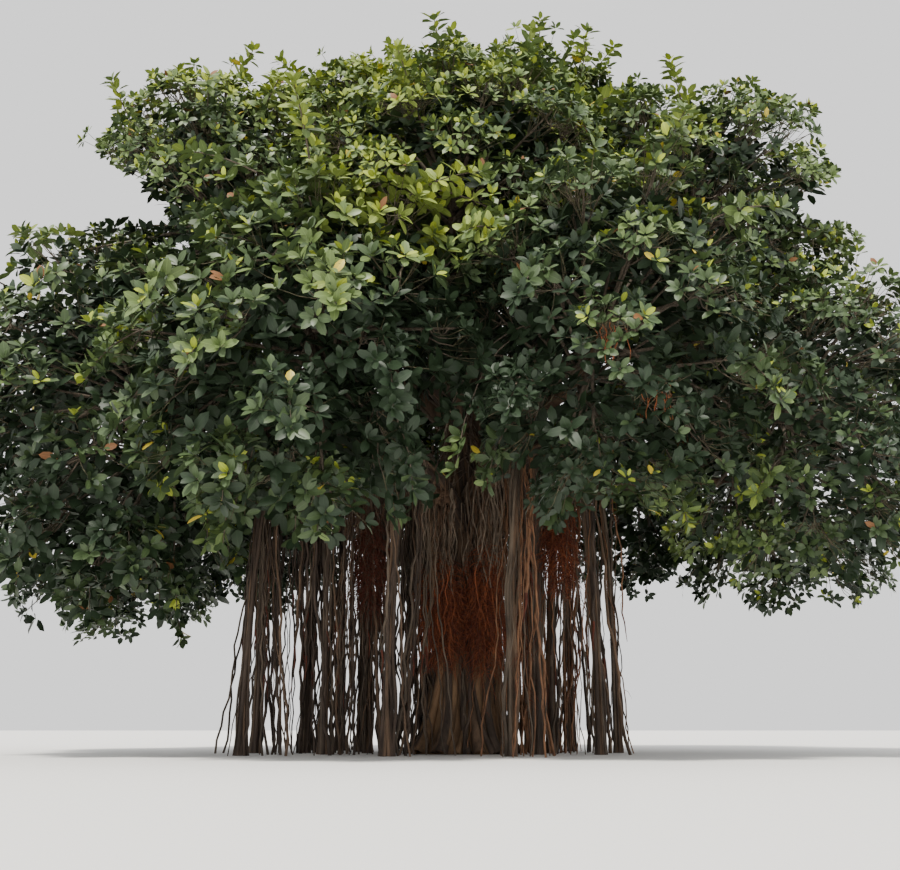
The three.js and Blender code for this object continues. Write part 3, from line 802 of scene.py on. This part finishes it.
def hanging_strands(mass, bundle, seed, count):
    """A bundle of aerial roots. Some leave the bough along a short stretch, some are shorter and leave it
    further out, and others leave the trunk's front higher up; they hang side by side in waves, at uneven
    lengths, and turn from grey to red on the way."""
    point, girth, along, aside = hook_on(mass, bundle["share"])
    drop = 0.6 * girth * UP
    hook_height = (point - drop)[2]
    k = np.arange(count)[:, None]
    t = np.linspace(0, 1, 28)
    outer = noise(seed, k + 3700) < STRAND["outer"]
    lean = bundle["spread"] * (2.3 * jitter(seed, k) + 4 * outer * noise(seed, k + 3800))
    swing = bundle["spread"] * 1.7 * jitter(seed, k + 500)
    length = np.linalg.norm(mass.bough[2] - mass.bough[0])
    place = bezier(*mass.bough, bundle["share"] + lean / length) - drop + swing[..., None] * aside
    from_trunk = (noise(seed, k + 300) < bundle["from_trunk"]) & ~outer
    height = between(*STRAND["trunk_heights"], noise(seed, k + 700))
    bearing = -math.pi / 2 + 1.1 * jitter(seed, k + 800) + 0.35 * np.sign(point[0])
    on_trunk = round_trunk(0.9 * trunk_radius(bearing, height), bearing, height)
    tops = np.where(from_trunk[..., None], on_trunk, place)

    lowest = between(bundle["lowest"], hook_height, 0.75 * noise(seed, k + 900) ** 1.6)
    shorter = np.maximum(lowest, tops[..., 2] - 0.6 - 0.8 * noise(seed, k + 4000))
    z = between(tops[..., 2], np.where(outer, shorter, lowest), t)
    loose = np.minimum(1, 3 * t) * (0.5 + noise(seed, k + 1100))
    long_turn = z * between(3.5, 7.5, noise(seed, k + 1300)) + 9 * noise(seed, k + 1700)
    short_turn = z * between(12, 21, noise(seed, k + 1500)) + 9 * noise(seed, k + 1900)
    wave, kink = STRAND["wave"] * loose * np.sin(long_turn), STRAND["kink"] * loose * np.sin(short_turn)
    spread = 1 - (1 - np.minimum(1, 3.2 * t)) ** 2
    path = between(tops, place, spread[:, None]) * LEVEL + z[..., None] * UP
    path = path + (wave + kink)[..., None] * along + (wave - kink)[..., None] * aside
    radius = between(*STRAND_RADII, noise(seed, k + 2100) ** 2) * (1.1 - 0.6 * t)

    change = between(bundle["lowest"], hook_height, 0.5) + 0.5 * jitter(seed, k + 2500)
    above = np.where(noise(seed, k + 2900) < 0.6, ROOT_GREY, ROOT_BROWN)
    dull = ROOT_MAROON if bundle["rust"] else ROOT_BROWN
    below = np.where(noise(seed, k + 3300) < bundle["rust"], ROOT_RUST, dull)
    return tubes(path, radius, 5, np.where((z[:, 1:] + z[:, :-1]) / 2 > change, above, below))


def red_beard(mass, bundle, seed, count):
    """The beard: a tangle of short curling rootlets that fills a spindle round the bundle's lower half,
    thickest in its middle and ragged at both ends."""
    hook = bezier(*mass.bough, bundle["share"])
    k = np.arange(count)[:, None]
    t = np.linspace(0, 1, 5)
    low, high = bundle["lowest"] - 0.05, between(bundle["lowest"], hook[2], BEARD["fill"])
    rise = (noise(seed, k + 4100) + noise(seed, k + 4200)) / 2
    turn = 2 * math.pi * noise(seed, k + 4900)
    ragged = 0.75 + 0.3 * np.sin(5 * turn + 9 * rise) * np.sin(11 * rise + seed)
    girth = bundle["spread"] * 1.25 * np.sqrt(np.clip(1.15 - (2 * rise - 0.9) ** 2, 0.05, 1)) * ragged
    out = girth * np.sqrt(0.15 + 0.85 * noise(seed, k + 5300))
    length = between(*BEARD["length"], noise(seed, k + 4500))
    heading = turn + 2.6 * jitter(seed, k + 5500) + 3.2 * jitter(seed, k + 5700) * t
    slope = between(*BEARD["slope"], noise(seed, k + 5600))
    start = polar(out, turn, between(low, high, rise)) * (1, 0.85, 1)
    curl = (length * t)[..., None] * polar(np.cos(slope), heading, np.sin(slope))
    path = hook * LEVEL + start + curl - UP * (BEARD["droop"] * length * t**2)[..., None]
    radius = between(*ROOTLET_RADII, noise(seed, k + 6500)) * (1.1 - 0.75 * t)
    rust = noise(seed, k + 6900) < bundle["rust"]
    return tubes(path, radius, 3, np.where(rust, ROOT_RUST, ROOT_MAROON))


def knot_surface(mass, bundle, seed):
    """The knot under a bough from which a bundle hangs, an ellipsoid of looping short roots."""
    point, girth, along, aside = hook_on(mass, bundle["share"])
    k = np.arange(LOOPS["count"])[:, None]
    t = np.linspace(0, 1, 12)
    turn = 2 * math.pi * noise(seed, k) + 3.4 * t
    tilt = 2.4 * jitter(seed, k + 40) + 0.6 * np.sin(5 * t + k)
    loops = 0.92 * KNOT * polar(np.cos(tilt), turn, np.sin(tilt)) @ np.array([along, aside, UP])
    radius = between(*LOOPS["radii"], noise(seed, k + 80)) * (0.4 + np.sin(math.pi * t)) / 1.4
    return tubes(point - girth * UP + loops, radius, 6, ROOT_BROWN)


def lowest_leaf(points):
    """How low leaves hang: low round the crown's edge, and higher in front of the trunk, though less so
    the nearer they are to the eye."""
    wide = np.where(points[..., 0] < 0, 1.3, 1.75)
    middle = np.exp(-((points[..., 0] / wide) ** 2))
    front = np.clip(0.8 - points[..., 1] / 2, 0, 1)
    nearer = np.clip(-points[..., 1] - 1.0, 0, 4.5)
    return 1.2 + (2.15 - 0.16 * nearer) * middle * front


def seen(points):
    """Where the eye sees points: how far across and how high they show in the plane of the trunk."""
    nearer = EYE["distance"] / (EYE["distance"] + points[..., 1])
    return points[..., 0] * nearer, EYE["height"] + (points[..., 2] - EYE["height"]) * nearer


def in_waist(points):
    """Whether points lie in the gap of sky at the crown's left and right."""
    across, high = seen(points)
    out = np.where(across < 0, -across - WAIST["left"], across - WAIST["right"])
    height = high - WAIST["level"]
    return (out > 0) & (height > 0) & (height < WAIST["edge"] + WAIST["opening"] * out)


def clump_tips(mass, masses, clumps):
    """Where the branches of a mass end: points of a golden spiral on its lobe, at uneven depths inside
    it. A branch that would leave the mass's own space is left out."""
    directions = unit((golden_sphere(clumps, mass.seed) * mass.half) @ mass.axes)
    k = np.arange(clumps)
    upward = np.maximum(0, directions[:, 2])
    shallow, uneven = between(0.12, 0.36, upward), between(0.55, 0.90, upward)
    reach = mass.reach(directions) - shallow - uneven * noise(mass.seed, k) ** 1.4
    kept = mass.room(directions, masses) > reach * 0.97
    tips = mass.centre + directions * reach[:, None]
    kept &= (tips[:, 2] > lowest_leaf(tips)) & ~in_waist(tips)
    return tips[kept], directions[kept], k[kept]


def rosette_sites(tips, directions, ids, count, radius, sink, seed):
    """Rosettes of each clump, spread like an umbrella that faces up and outward: a golden spiral on a
    disc whose rim droops by the square of the distance from its middle, with a few shoots that stand out
    of it. Returns where they sit and the way they point."""
    dome, rim_droop, uneven = 0.12, 0.5, 0.2
    axis = unit(0.75 * directions * (1, 1, 0.45) + 0.55 * UP)[:, None]
    first, second = across_of(axis)
    j = np.arange(count)[None, :]
    k = ids[:, None]
    size = radius * (0.75 + 0.5 * noise(seed, k))
    ring = size * np.sqrt((j + 0.5) / count) * (0.85 + 0.3 * noise(seed + k, j))
    flat = ring[..., None] * turned(first, second, j * GOLDEN_ANGLE + k)
    depth = (dome - rim_droop * (ring / size) ** 2) * size + uneven * jitter(seed + k, j + 50)
    shoots = (noise(seed + k, j + 90) < 0.07) * (directions[:, None, 2] > 0.3) * (0.1 + 0.2 * noise(k, j))
    sites = (tips - sink * directions)[:, None] + flat + axis * (depth + shoots)[..., None]
    aims = 0.6 * axis + 0.35 * UP + 0.75 * flat / radius + 0.8 * scatter(seed + k, j + 300, j + 400, j + 500)
    return sites, unit(aims)


def spray_along(start, bend, end, leafy, k):
    """Sprays along curves: their paths, the sites of the rosettes that sit beside the leafy last share of
    each, a golden angle further round at each step, and the way the rosettes point."""
    step = np.linspace(0.15, 1, 7)
    off = 0.07
    ahead = unit(bend - start)[:, None]
    aside = turned(*across_of(ahead), np.arange(len(step)) * GOLDEN_ANGLE + k[:, None])
    middles = bezier(start[:, None], bend[:, None], end[:, None], 1 - leafy * (1 - step))
    sites = middles + off * aside * (1 - step)[:, None]
    aims = unit(0.7 * ahead + 0.3 * UP + 1.1 * aside * (1.05 - step)[:, None])
    return curves(start, bend, end, len(SPRAY_RADII)), sites, aims


def hanging_sprays(mass, ends):
    """Branches that run out level from the end of a mass's stem, then hang down to the given ends. Returns
    what leader_rosettes returns."""
    ends = np.array(ends)
    k = 200 + np.arange(len(ends))
    start = np.repeat(mass.centre[None], len(ends), axis=0)
    bend = start + 0.85 * (ends - start) * LEVEL
    return *spray_along(start, bend, ends, 0.33, k), k


def leader_rosettes(mass, directions, ids, count, sink, droop):
    """Long sprays that stand out of a mass and arch over: some branches run on past their clump, with a
    rosette at each step. Returns the sprays' paths, the rosettes' sites, the way they point, and which
    clump each belongs to."""
    half_length = 0.42
    chosen = np.argsort(noise(mass.seed + 2, ids))[:count]
    out, k = directions[chosen], ids[chosen]
    start = mass.centre + out * (mass.reach(out) - sink)[:, None]
    astray = scatter(mass.seed, k + 10, k + 20, k + 30)
    ahead = unit(out + 0.5 * astray + (0.36 - 0.45 * droop) * UP)
    bend = start + half_length * ahead
    end = bend + half_length * unit(ahead + 0.4 * astray - droop * (1 - out[:, 2:]) * UP)
    paths, sites, aims = spray_along(start, bend, end, 1, k)
    clear = ((sites[..., 2] > lowest_leaf(sites) - 0.25) & ~in_waist(sites)).all(axis=1)
    return paths[clear], sites[clear], aims[clear], k[clear]


def all_sprays(mass, directions, ids, style, leaders):
    """The sprays that stand out of a mass, with those that hang from it joined on."""
    count = round(leaders * style["leaders"])
    standing = leader_rosettes(mass, directions, ids, count, style["sink"], style["droop"])
    if not style["ends"]:
        return standing
    return [np.concatenate(pair) for pair in zip(standing, hanging_sprays(mass, style["ends"]))]


def shown_rosettes(mass, sites, open_side):
    """Which rosettes there are: fewer on the open side, and none well outside the lobe, below the crown's
    underside or in the gap of sky."""
    away = np.clip((sites[..., 0] - 1.5) / 3.5, 0, 1) * open_side
    kept = noise(mass.seed, np.arange(away.size).reshape(away.shape) + 11) >= away
    kept &= mass.depth(sites - mass.centre) < 1.1
    return kept & (sites[..., 2] > lowest_leaf(sites) - 0.25) & ~in_waist(sites)


def rosette_twigs(mass, tips, directions, ids, sites, aims, kept):
    """Branches from the stem to the clumps that have leaves, each with its side shoots and twigs."""
    share = noise(mass.seed, ids + 20)
    roots = bezier(*mass.stem, 0.35 + 0.65 * share)
    lift = 0.16 * (noise(mass.seed, ids + 60) - 0.3)
    bends = (roots + tips) / 2 + UP * lift[:, None]
    branches = np.array([roots, bends, tips - 0.12 * directions])
    leafy = kept.any(axis=1)
    radius = BRANCH_RADII * between(0.8, 1.3, share[leafy][:, None])
    parts = [tubes(curves(*branches[:, leafy], len(BRANCH_RADII)), radius, 5, TWIG_GREY)]
    turn = np.mod(np.arange(sites.shape[1]) * GOLDEN_ANGLE + ids[:, None], 2 * math.pi)
    sector = (turn * SECTORS / (2 * math.pi)).astype(int)
    for q in range(SECTORS):
        parts += sector_twigs(branches, ids, sites, aims, kept & (sector == q), q)
    return parts


def sector_twigs(branches, ids, sites, aims, mine, q):
    """For one sector of each clump, a side shoot that forks off the branch towards the sector's middle,
    and the twigs that run from it to the sector's rosettes."""
    rows = mine.any(axis=1)
    weight = mine[rows][..., None] / mine[rows].sum(axis=1)[:, None, None]
    middle = (sites[rows] * weight).sum(axis=1)
    aim = unit((aims[rows] * weight).sum(axis=1))
    fork = bezier(*branches[:, rows], 0.6 + 0.36 * noise(ids[rows], 7 + q))
    hub = 0.2 * fork + 0.8 * middle - 0.14 * aim
    shoots = np.array([fork, (fork + hub) / 2 - 0.1 * aim, hub])
    own, which = np.nonzero(mine[rows])
    starts = bezier(*shoots[:, own], 0.45 + 0.55 * noise(own, which + 7))
    tops, ways = sites[mine], aims[mine]
    bends = 0.45 * starts + 0.55 * tops - 0.07 * ways
    twigs = curves(starts, bends, tops - 0.01 * ways, len(TWIG_RADII))
    return [
        tubes(curves(*shoots, len(SHOOT_RADII)), SHOOT_RADII, 3, TWIG_GREY),
        tubes(twigs, TWIG_RADII, 3, TWIG_GREEN),
    ]


def young_roots(mass, tips, directions, tufts):
    """Tufts of short wavy young roots, orange below, that hang from the branches whose ends are nearest
    to where the eye sees them."""
    across, high = seen(tips)
    nearest = np.hypot(across - YOUNG_ROOTS[0], high - YOUNG_ROOTS[1]) + 0.15 * tips[:, 1]
    chosen = np.repeat(np.argsort(nearest)[:tufts], TUFT["count"])
    top = (tips[chosen] - 0.2 * directions[chosen])[:, None]
    k = np.arange(len(chosen))[:, None]
    t = np.linspace(0, 1, 7)
    apart = 0.3 * scatter(mass.seed, k + 10, k + 30, k) * LEVEL * np.minimum(1, 3 * t)[:, None]
    length = between(*TUFT["length"], noise(mass.seed, k + 50)) * t
    sway = 0.02 * np.sin(9 * t + k)[..., None] * (1, 0.6, 0)
    radius = between(*TUFT["radii"], noise(mass.seed, k + 70)) * (1.1 - 0.6 * t)
    slots = np.where(t[1:] > 0.5, TWIG_ORANGE, TWIG_GREEN)
    return tubes(top + apart - UP * length[..., None] + sway, radius, 4, slots)


def leaf_form(rows, widths, across):
    """Points of a leaf, as shares of its length and of its half width, and the triangles between them:
    a fan at its root, two triangles for each square between rows, and a fan at its tip."""
    n = len(across)
    along = [0.0] + [row for row in rows for _ in across] + [1.0]
    aside = [0.0] + [width * side for width in widths for side in across] + [0.0]
    last = len(along) - 1 - n
    triangles = []
    for a in range(1, n):
        triangles += [(0, a + 1, a), (last + a - 1, last + a, last + n)]
        for b in range(a, last, n):
            triangles += [(b, b + 1, b + n + 1), (b, b + n + 1, b + n)]
    return np.array(along), np.array(aside), np.array(triangles)


def leaf_blades(sites, aims, painted_light_and_tone, settings, form, leaves, scale, seed):
    """The leaves of rosettes. Each leaf is a broad ellipse of points, folded up along its rib and bent
    down towards its tip. Leaf j of a rosette is turned by the golden angle from the last one, and stands
    closer to the rosette's own way the younger it is. Returns points, faces, material numbers and UV."""
    j = np.arange(leaves)[None, :]
    i = np.arange(len(sites))[:, None]
    aims = aims[:, None]
    young = j / (leaves - 1)
    open_angle = np.radians(80 - 44 * young + 24 * jitter(seed + i, j) - 18 * noise(seed, i + 15))
    spoke = turned(*across_of(aims), j * GOLDEN_ANGLE + 6.3 * noise(seed, i))
    along = unit(turned(aims, spoke, open_angle) - 0.14 * UP)
    face = turned(-spoke, aims, open_angle)
    tilt = 0.8 * jitter(seed + i, j + 30)
    face = unit(face + tilt[..., None] * np.cross(along, face) + 0.25 * UP)
    side = unit(np.cross(along, face))
    face = np.cross(side, along)

    length = scale * settings.leaf_length * (1.1 - 0.42 * young**2) * (0.85 + 0.3 * noise(seed + i, j + 60))
    width = length * settings.leaf_width / settings.leaf_length * (0.9 + 0.2 * noise(seed + i, j + 80))
    root = sites[:, None] - aims * (0.03 * scale * (1 - young))[..., None] + 0.02 * along
    rows, wides, triangles = leaf_form(**form)
    bend = (0.10 + 0.16 * noise(seed + i, j + 40)) * length
    fold = 0.09 * width[..., None] * np.abs(wides) - bend[..., None] * rows**2
    shares = np.stack([length[..., None] * rows, 0.5 * width[..., None] * wides, fold], axis=-1)
    points = root[:, :, None] + shares @ np.stack([along, side, face], axis=-2)
    count = len(sites) * leaves
    faces = (np.arange(count)[:, None, None] * len(rows) + triangles).reshape(-1, 3)
    uv_points = np.stack([0.5 + 0.5 * np.sign(wides), rows], axis=1)
    uv = np.broadcast_to(uv_points[triangles], (count, len(triangles), 3, 2)).reshape(-1, 2)
    tone = leaf_tones(painted_light_and_tone[:, None], i, j, young, seed)
    return points.reshape(-1, 3), faces, np.repeat(tone.reshape(-1), len(triangles)), uv


def leaf_tones(light, i, j, young, seed):
    """Which material each leaf takes: darker and greener copies for painted shade and lighter ones for
    painted light, yellow-green where young, more often where the painted light is strong, and now and then
    yellow or brown."""
    shade = light + 0.30 * jitter(seed + 3 * i, j + 120)
    # Painted shade and painted light: the lightness picks one of the four copies of the green.
    tone = np.digitize(shade, [0.16, 0.46, 0.80])
    fresh = (young > 0.6) & (noise(seed, i + 7) < 0.7 * light - 0.06)
    rare = noise(seed + 5 * i, j + 160)
    tone = np.where(fresh, LEAF_YOUNG, tone)
    tone = np.where((rare > 0.995) & (light > 0), LEAF_YELLOW, tone)
    return np.where((rare < 0.003) & (light > 0), LEAF_BROWN, tone)


def painted_crown_light(sites, mass):
    """How much painted light a rosette's leaves get in their colour, from 0 to 1, with painted shade where it
    is low: more towards the top and the outside of the crown, and more or less in some patches of its front."""
    height = np.clip((sites[:, 2] - 2.2) / 8.0, 0, 1)
    outside = np.clip(mass.depth(sites - mass.centre) - 0.45, 0, 1)
    upward = np.clip((sites[:, 2] - mass.centre[2]) / mass.half[2], -1, 1)
    front = np.clip(0.6 - sites[:, 1] / 3, 0, 1)
    across, high = seen(sites)
    patches = 0
    for x, z, wide, gain in PAINTED_LIGHT_PATCHES:
        patches = patches + gain * np.exp(-((across - x) ** 2 + (high - z) ** 2) / wide**2)
    return 0.01 + 0.50 * height + 0.42 * outside + 0.22 * upward + front * patches


def dressed_rosettes(mass, sites, aims, ids, kept, settings, form, leaves, scale, shade):
    """Leaves on the rosettes that are kept, coloured by painted light and painted shade. Whole clumps, and
    rosettes within them, also differ in tone at random."""
    clump = np.broadcast_to(ids[:, None], kept.shape)[kept]
    sites, aims = sites[kept], aims[kept]
    uneven = jitter(mass.seed + 9, np.arange(len(sites))) + jitter(mass.seed + 4, clump)
    # Painted light and painted shade from the rosette's place in the crown, plus a random tone for each clump
    # and rosette.
    painted_light_and_tone = painted_crown_light(sites, mass) + shade + 0.34 * uneven
    return leaf_blades(sites, aims, painted_light_and_tone, settings, form, leaves, scale, mass.seed)


def grow_foliage(mass, masses, style, settings, with_young_roots):
    """The pieces of one mass: its twigs, and its leaves in rosettes that sit round its clumps, in their
    shade and along its sprays."""
    clumps = clump_tips(mass, masses, settings.clumps)
    tips, directions, ids = clumps
    form = style["form"]
    outer_count = round(settings.rosettes * style["rosettes"])
    inner_count = round(settings.inner_rosettes * style["inner"])
    outer = rosette_sites(*clumps, outer_count, settings.clump_radius, 0.0, mass.seed)
    inner = rosette_sites(*clumps, inner_count, 1.5 * settings.clump_radius, 0.5, mass.seed + 50)
    outer_kept = shown_rosettes(mass, outer[0], settings.open_side)
    inner_kept = shown_rosettes(mass, inner[0], settings.open_side)
    sprays, *leaders, own = all_sprays(mass, directions, ids, style, settings.leaders)
    leaders_kept = np.ones(leaders[0].shape[:2], bool)

    wood = rosette_twigs(mass, *clumps, *outer, outer_kept)
    wood.append(tubes(sprays, SPRAY_RADII, 4, TWIG_GREY))
    if with_young_roots:
        wood.append(young_roots(mass, tips, directions, settings.young_roots))
    add_piece(f"{mass.name}_twigs", wood, twig_set(), [mass.name])

    rosettes = [
        dressed_rosettes(mass, *outer, ids, outer_kept, settings, form, settings.leaves, style["scale"], 0),
        dressed_rosettes(mass, *inner, ids, inner_kept, settings, PLAIN_LEAF, *SHADED),
        dressed_rosettes(mass, *leaders, own, leaders_kept, settings, form, *ON_SPRAYS),
    ]
    parts = [group[:3] for group in rosettes]
    uv = np.concatenate([group[3] for group in rosettes])
    add_piece(f"{mass.name}_leaves", parts, leaf_set(), [mass.name], uv)


def lay_floor(scene, half):
    """A pale level square under the tree."""
    mesh = bpy.data.meshes.new("floor")
    square = [(-half, -half, 0), (half, -half, 0), (half, half, 0), (-half, half, 0)]
    mesh.from_pydata(square, [], [(0, 1, 2, 3)])
    pale, shader = new_material("floor_pale", 0.8)
    if shader is not None:
        shader.inputs["Base Color"].default_value = (0.8, 0.79, 0.77, 1)
    mesh.materials.append(pale)
    floor = bpy.data.objects.new("floor", mesh)
    scene.collection.objects.link(floor)


class BANYAN_OT_trunk(bpy.types.Operator):
    """Grow the trunk with its ribs, its flare and the roots that clasp it"""

    bl_idname = "banyan.trunk"
    bl_label = "Trunk"
    bl_options = {"REGISTER", "UNDO"}

    def execute(self, context):
        parts = [trunk_surface(), clasping_roots(context.scene.banyan.clasping_roots)]
        add_piece("trunk_bark", parts, bark_set(), ["trunk"])
        return {"FINISHED"}


class BANYAN_OT_boughs(bpy.types.Operator):
    """Grow the boughs, each running on into its mass of foliage"""

    bl_idname = "banyan.boughs"
    bl_label = "Boughs"
    bl_options = {"REGISTER", "UNDO"}

    def execute(self, context):
        *carried, crown = grow_masses()
        parts = [part for mass in carried for part in bough_surface(mass)]
        parts.append(stem_surface(crown))
        nodes = [mass.name.replace("foliage", "bough") for mass in carried]
        add_piece("boughs_bark", parts, bark_set(), nodes)
        return {"FINISHED"}


class BANYAN_OT_prop_roots(bpy.types.Operator):
    """Grow the prop roots and the thin roots between them"""

    bl_idname = "banyan.prop_roots"
    bl_label = "Prop roots"
    bl_options = {"REGISTER", "UNDO"}

    def execute(self, context):
        settings = context.scene.banyan
        skirt = grow_masses()[: TIERS[0]["masses"]]
        parts, nodes = [], []
        for mass, shares in zip(skirt, PROP_SHARES):
            for share in shares:
                nodes.append(f"prop_root_{len(nodes) + 1}")
                parts += prop_surface(mass, share, len(nodes))
        surface, paths, rusty = thin_roots(skirt, settings.thin_roots)
        parts += [surface, root_fuzz(paths[rusty], settings.fuzz)]
        finishes = [*bark_set(), bark_material("root_maroon"), bark_material("root_warm")]
        add_piece("prop_roots_bark", parts, finishes, nodes)
        return {"FINISHED"}


class BANYAN_OT_hanging_roots(bpy.types.Operator):
    """Grow the bundles of aerial roots that hang free, with their red beards"""

    bl_idname = "banyan.hanging_roots"
    bl_label = "Hanging roots"
    bl_options = {"REGISTER", "UNDO"}

    def execute(self, context):
        settings = context.scene.banyan
        masses = grow_masses()
        for k, bundle in enumerate(BUNDLES, 1):
            mass = masses[bundle["bough"]]
            full = bundle["spread"] / BUNDLES[0]["spread"]
            parts = [
                hanging_strands(mass, bundle, k, int(settings.strands * full)),
                red_beard(mass, bundle, k, int(settings.rootlets * full)),
                knot_surface(mass, bundle, k),
            ]
            node = f"hanging_roots_{k}"
            add_piece(f"{node}_strands", parts, root_set(), [node])
        return {"FINISHED"}


class BANYAN_OT_foliage(bpy.types.Operator):
    """Grow the twigs and the rosettes of leaves of every mass"""

    bl_idname = "banyan.foliage"
    bl_label = "Foliage"
    bl_options = {"REGISTER", "UNDO"}

    def execute(self, context):
        masses = grow_masses()
        for k, mass in enumerate(masses):
            style = HABITS.get(k, AROUND if k < TIERS[0]["masses"] else ABOVE)
            grow_foliage(mass, masses, style, context.scene.banyan, k in RUSTY_BOUGHS[:2])
        return {"FINISHED"}


class BANYAN_OT_stage(bpy.types.Operator):
    """Lay the pale floor, light the tree softly and set the camera at the photo's angle"""

    bl_idname = "banyan.stage"
    bl_label = "Stage"
    bl_options = {"REGISTER", "UNDO"}

    def execute(self, context):
        scene = context.scene
        lay_floor(scene, half=400)
        world = bpy.data.worlds.new("studio")
        world.use_nodes = True
        sky = world.node_tree.nodes["Background"]
        sky.inputs["Color"].default_value = (1, 1, 1, 1)
        sky.inputs["Strength"].default_value = 1.3
        scene.world = world

        sun = bpy.data.lights.new("sun", "SUN")
        sun.energy = 5.5
        sun.angle = math.radians(9)
        sun.color = (1.0, 0.96, 0.88)
        lamp = bpy.data.objects.new("sun", sun)
        lamp.rotation_mode = "QUATERNION"
        lamp.rotation_quaternion = Vector((0.2, 0.6, -1.0)).to_track_quat("-Z", "Y")
        scene.collection.objects.link(lamp)

        view = bpy.data.cameras.new("camera")
        view.sensor_width = PICTURE_WIDTH
        view.lens = EYE["lens"]
        camera = bpy.data.objects.new("camera", view)
        camera.location = (EYE["aside"], -EYE["distance"], EYE["height"])
        camera.rotation_euler = (EYE["tilt"], 0, 0)
        scene.collection.objects.link(camera)
        scene.camera = camera
        return {"FINISHED"}


class BANYAN_PT_panel(bpy.types.Panel):
    """The tree's settings and the steps that grow it"""

    bl_label = "Banyan tree"
    bl_idname = "BANYAN_PT_panel"
    bl_space_type = "VIEW_3D"
    bl_region_type = "UI"
    bl_category = "Banyan"

    def draw(self, context):
        for settings in (context.scene.banyan, context.scene.banyan_colors):
            for name in type(settings).__annotations__:
                self.layout.prop(settings, name)
        for operator in STEPS:
            self.layout.operator(operator.bl_idname)


STEPS = (
    BANYAN_OT_trunk,
    BANYAN_OT_boughs,
    BANYAN_OT_prop_roots,
    BANYAN_OT_hanging_roots,
    BANYAN_OT_foliage,
    BANYAN_OT_stage,
)
CLASSES = (BanyanSettings, BanyanColors, *STEPS, BANYAN_PT_panel)


def register():
    """Adds the classes and the settings."""
    for cls in CLASSES:
        bpy.utils.register_class(cls)
    bpy.types.Scene.banyan = PointerProperty(type=BanyanSettings)
    bpy.types.Scene.banyan_colors = PointerProperty(type=BanyanColors)


def unregister():
    """Takes the settings and the classes away again."""
    del bpy.types.Scene.banyan, bpy.types.Scene.banyan_colors
    for cls in reversed(CLASSES):
        bpy.utils.unregister_class(cls)


def main():
    """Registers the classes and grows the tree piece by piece."""
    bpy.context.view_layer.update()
    register()
    bpy.ops.banyan.trunk()
    bpy.ops.banyan.boughs()
    bpy.ops.banyan.prop_roots()
    bpy.ops.banyan.hanging_roots()
    bpy.ops.banyan.foliage()
    bpy.ops.banyan.stage()


if __name__ == "__main__":
    main()
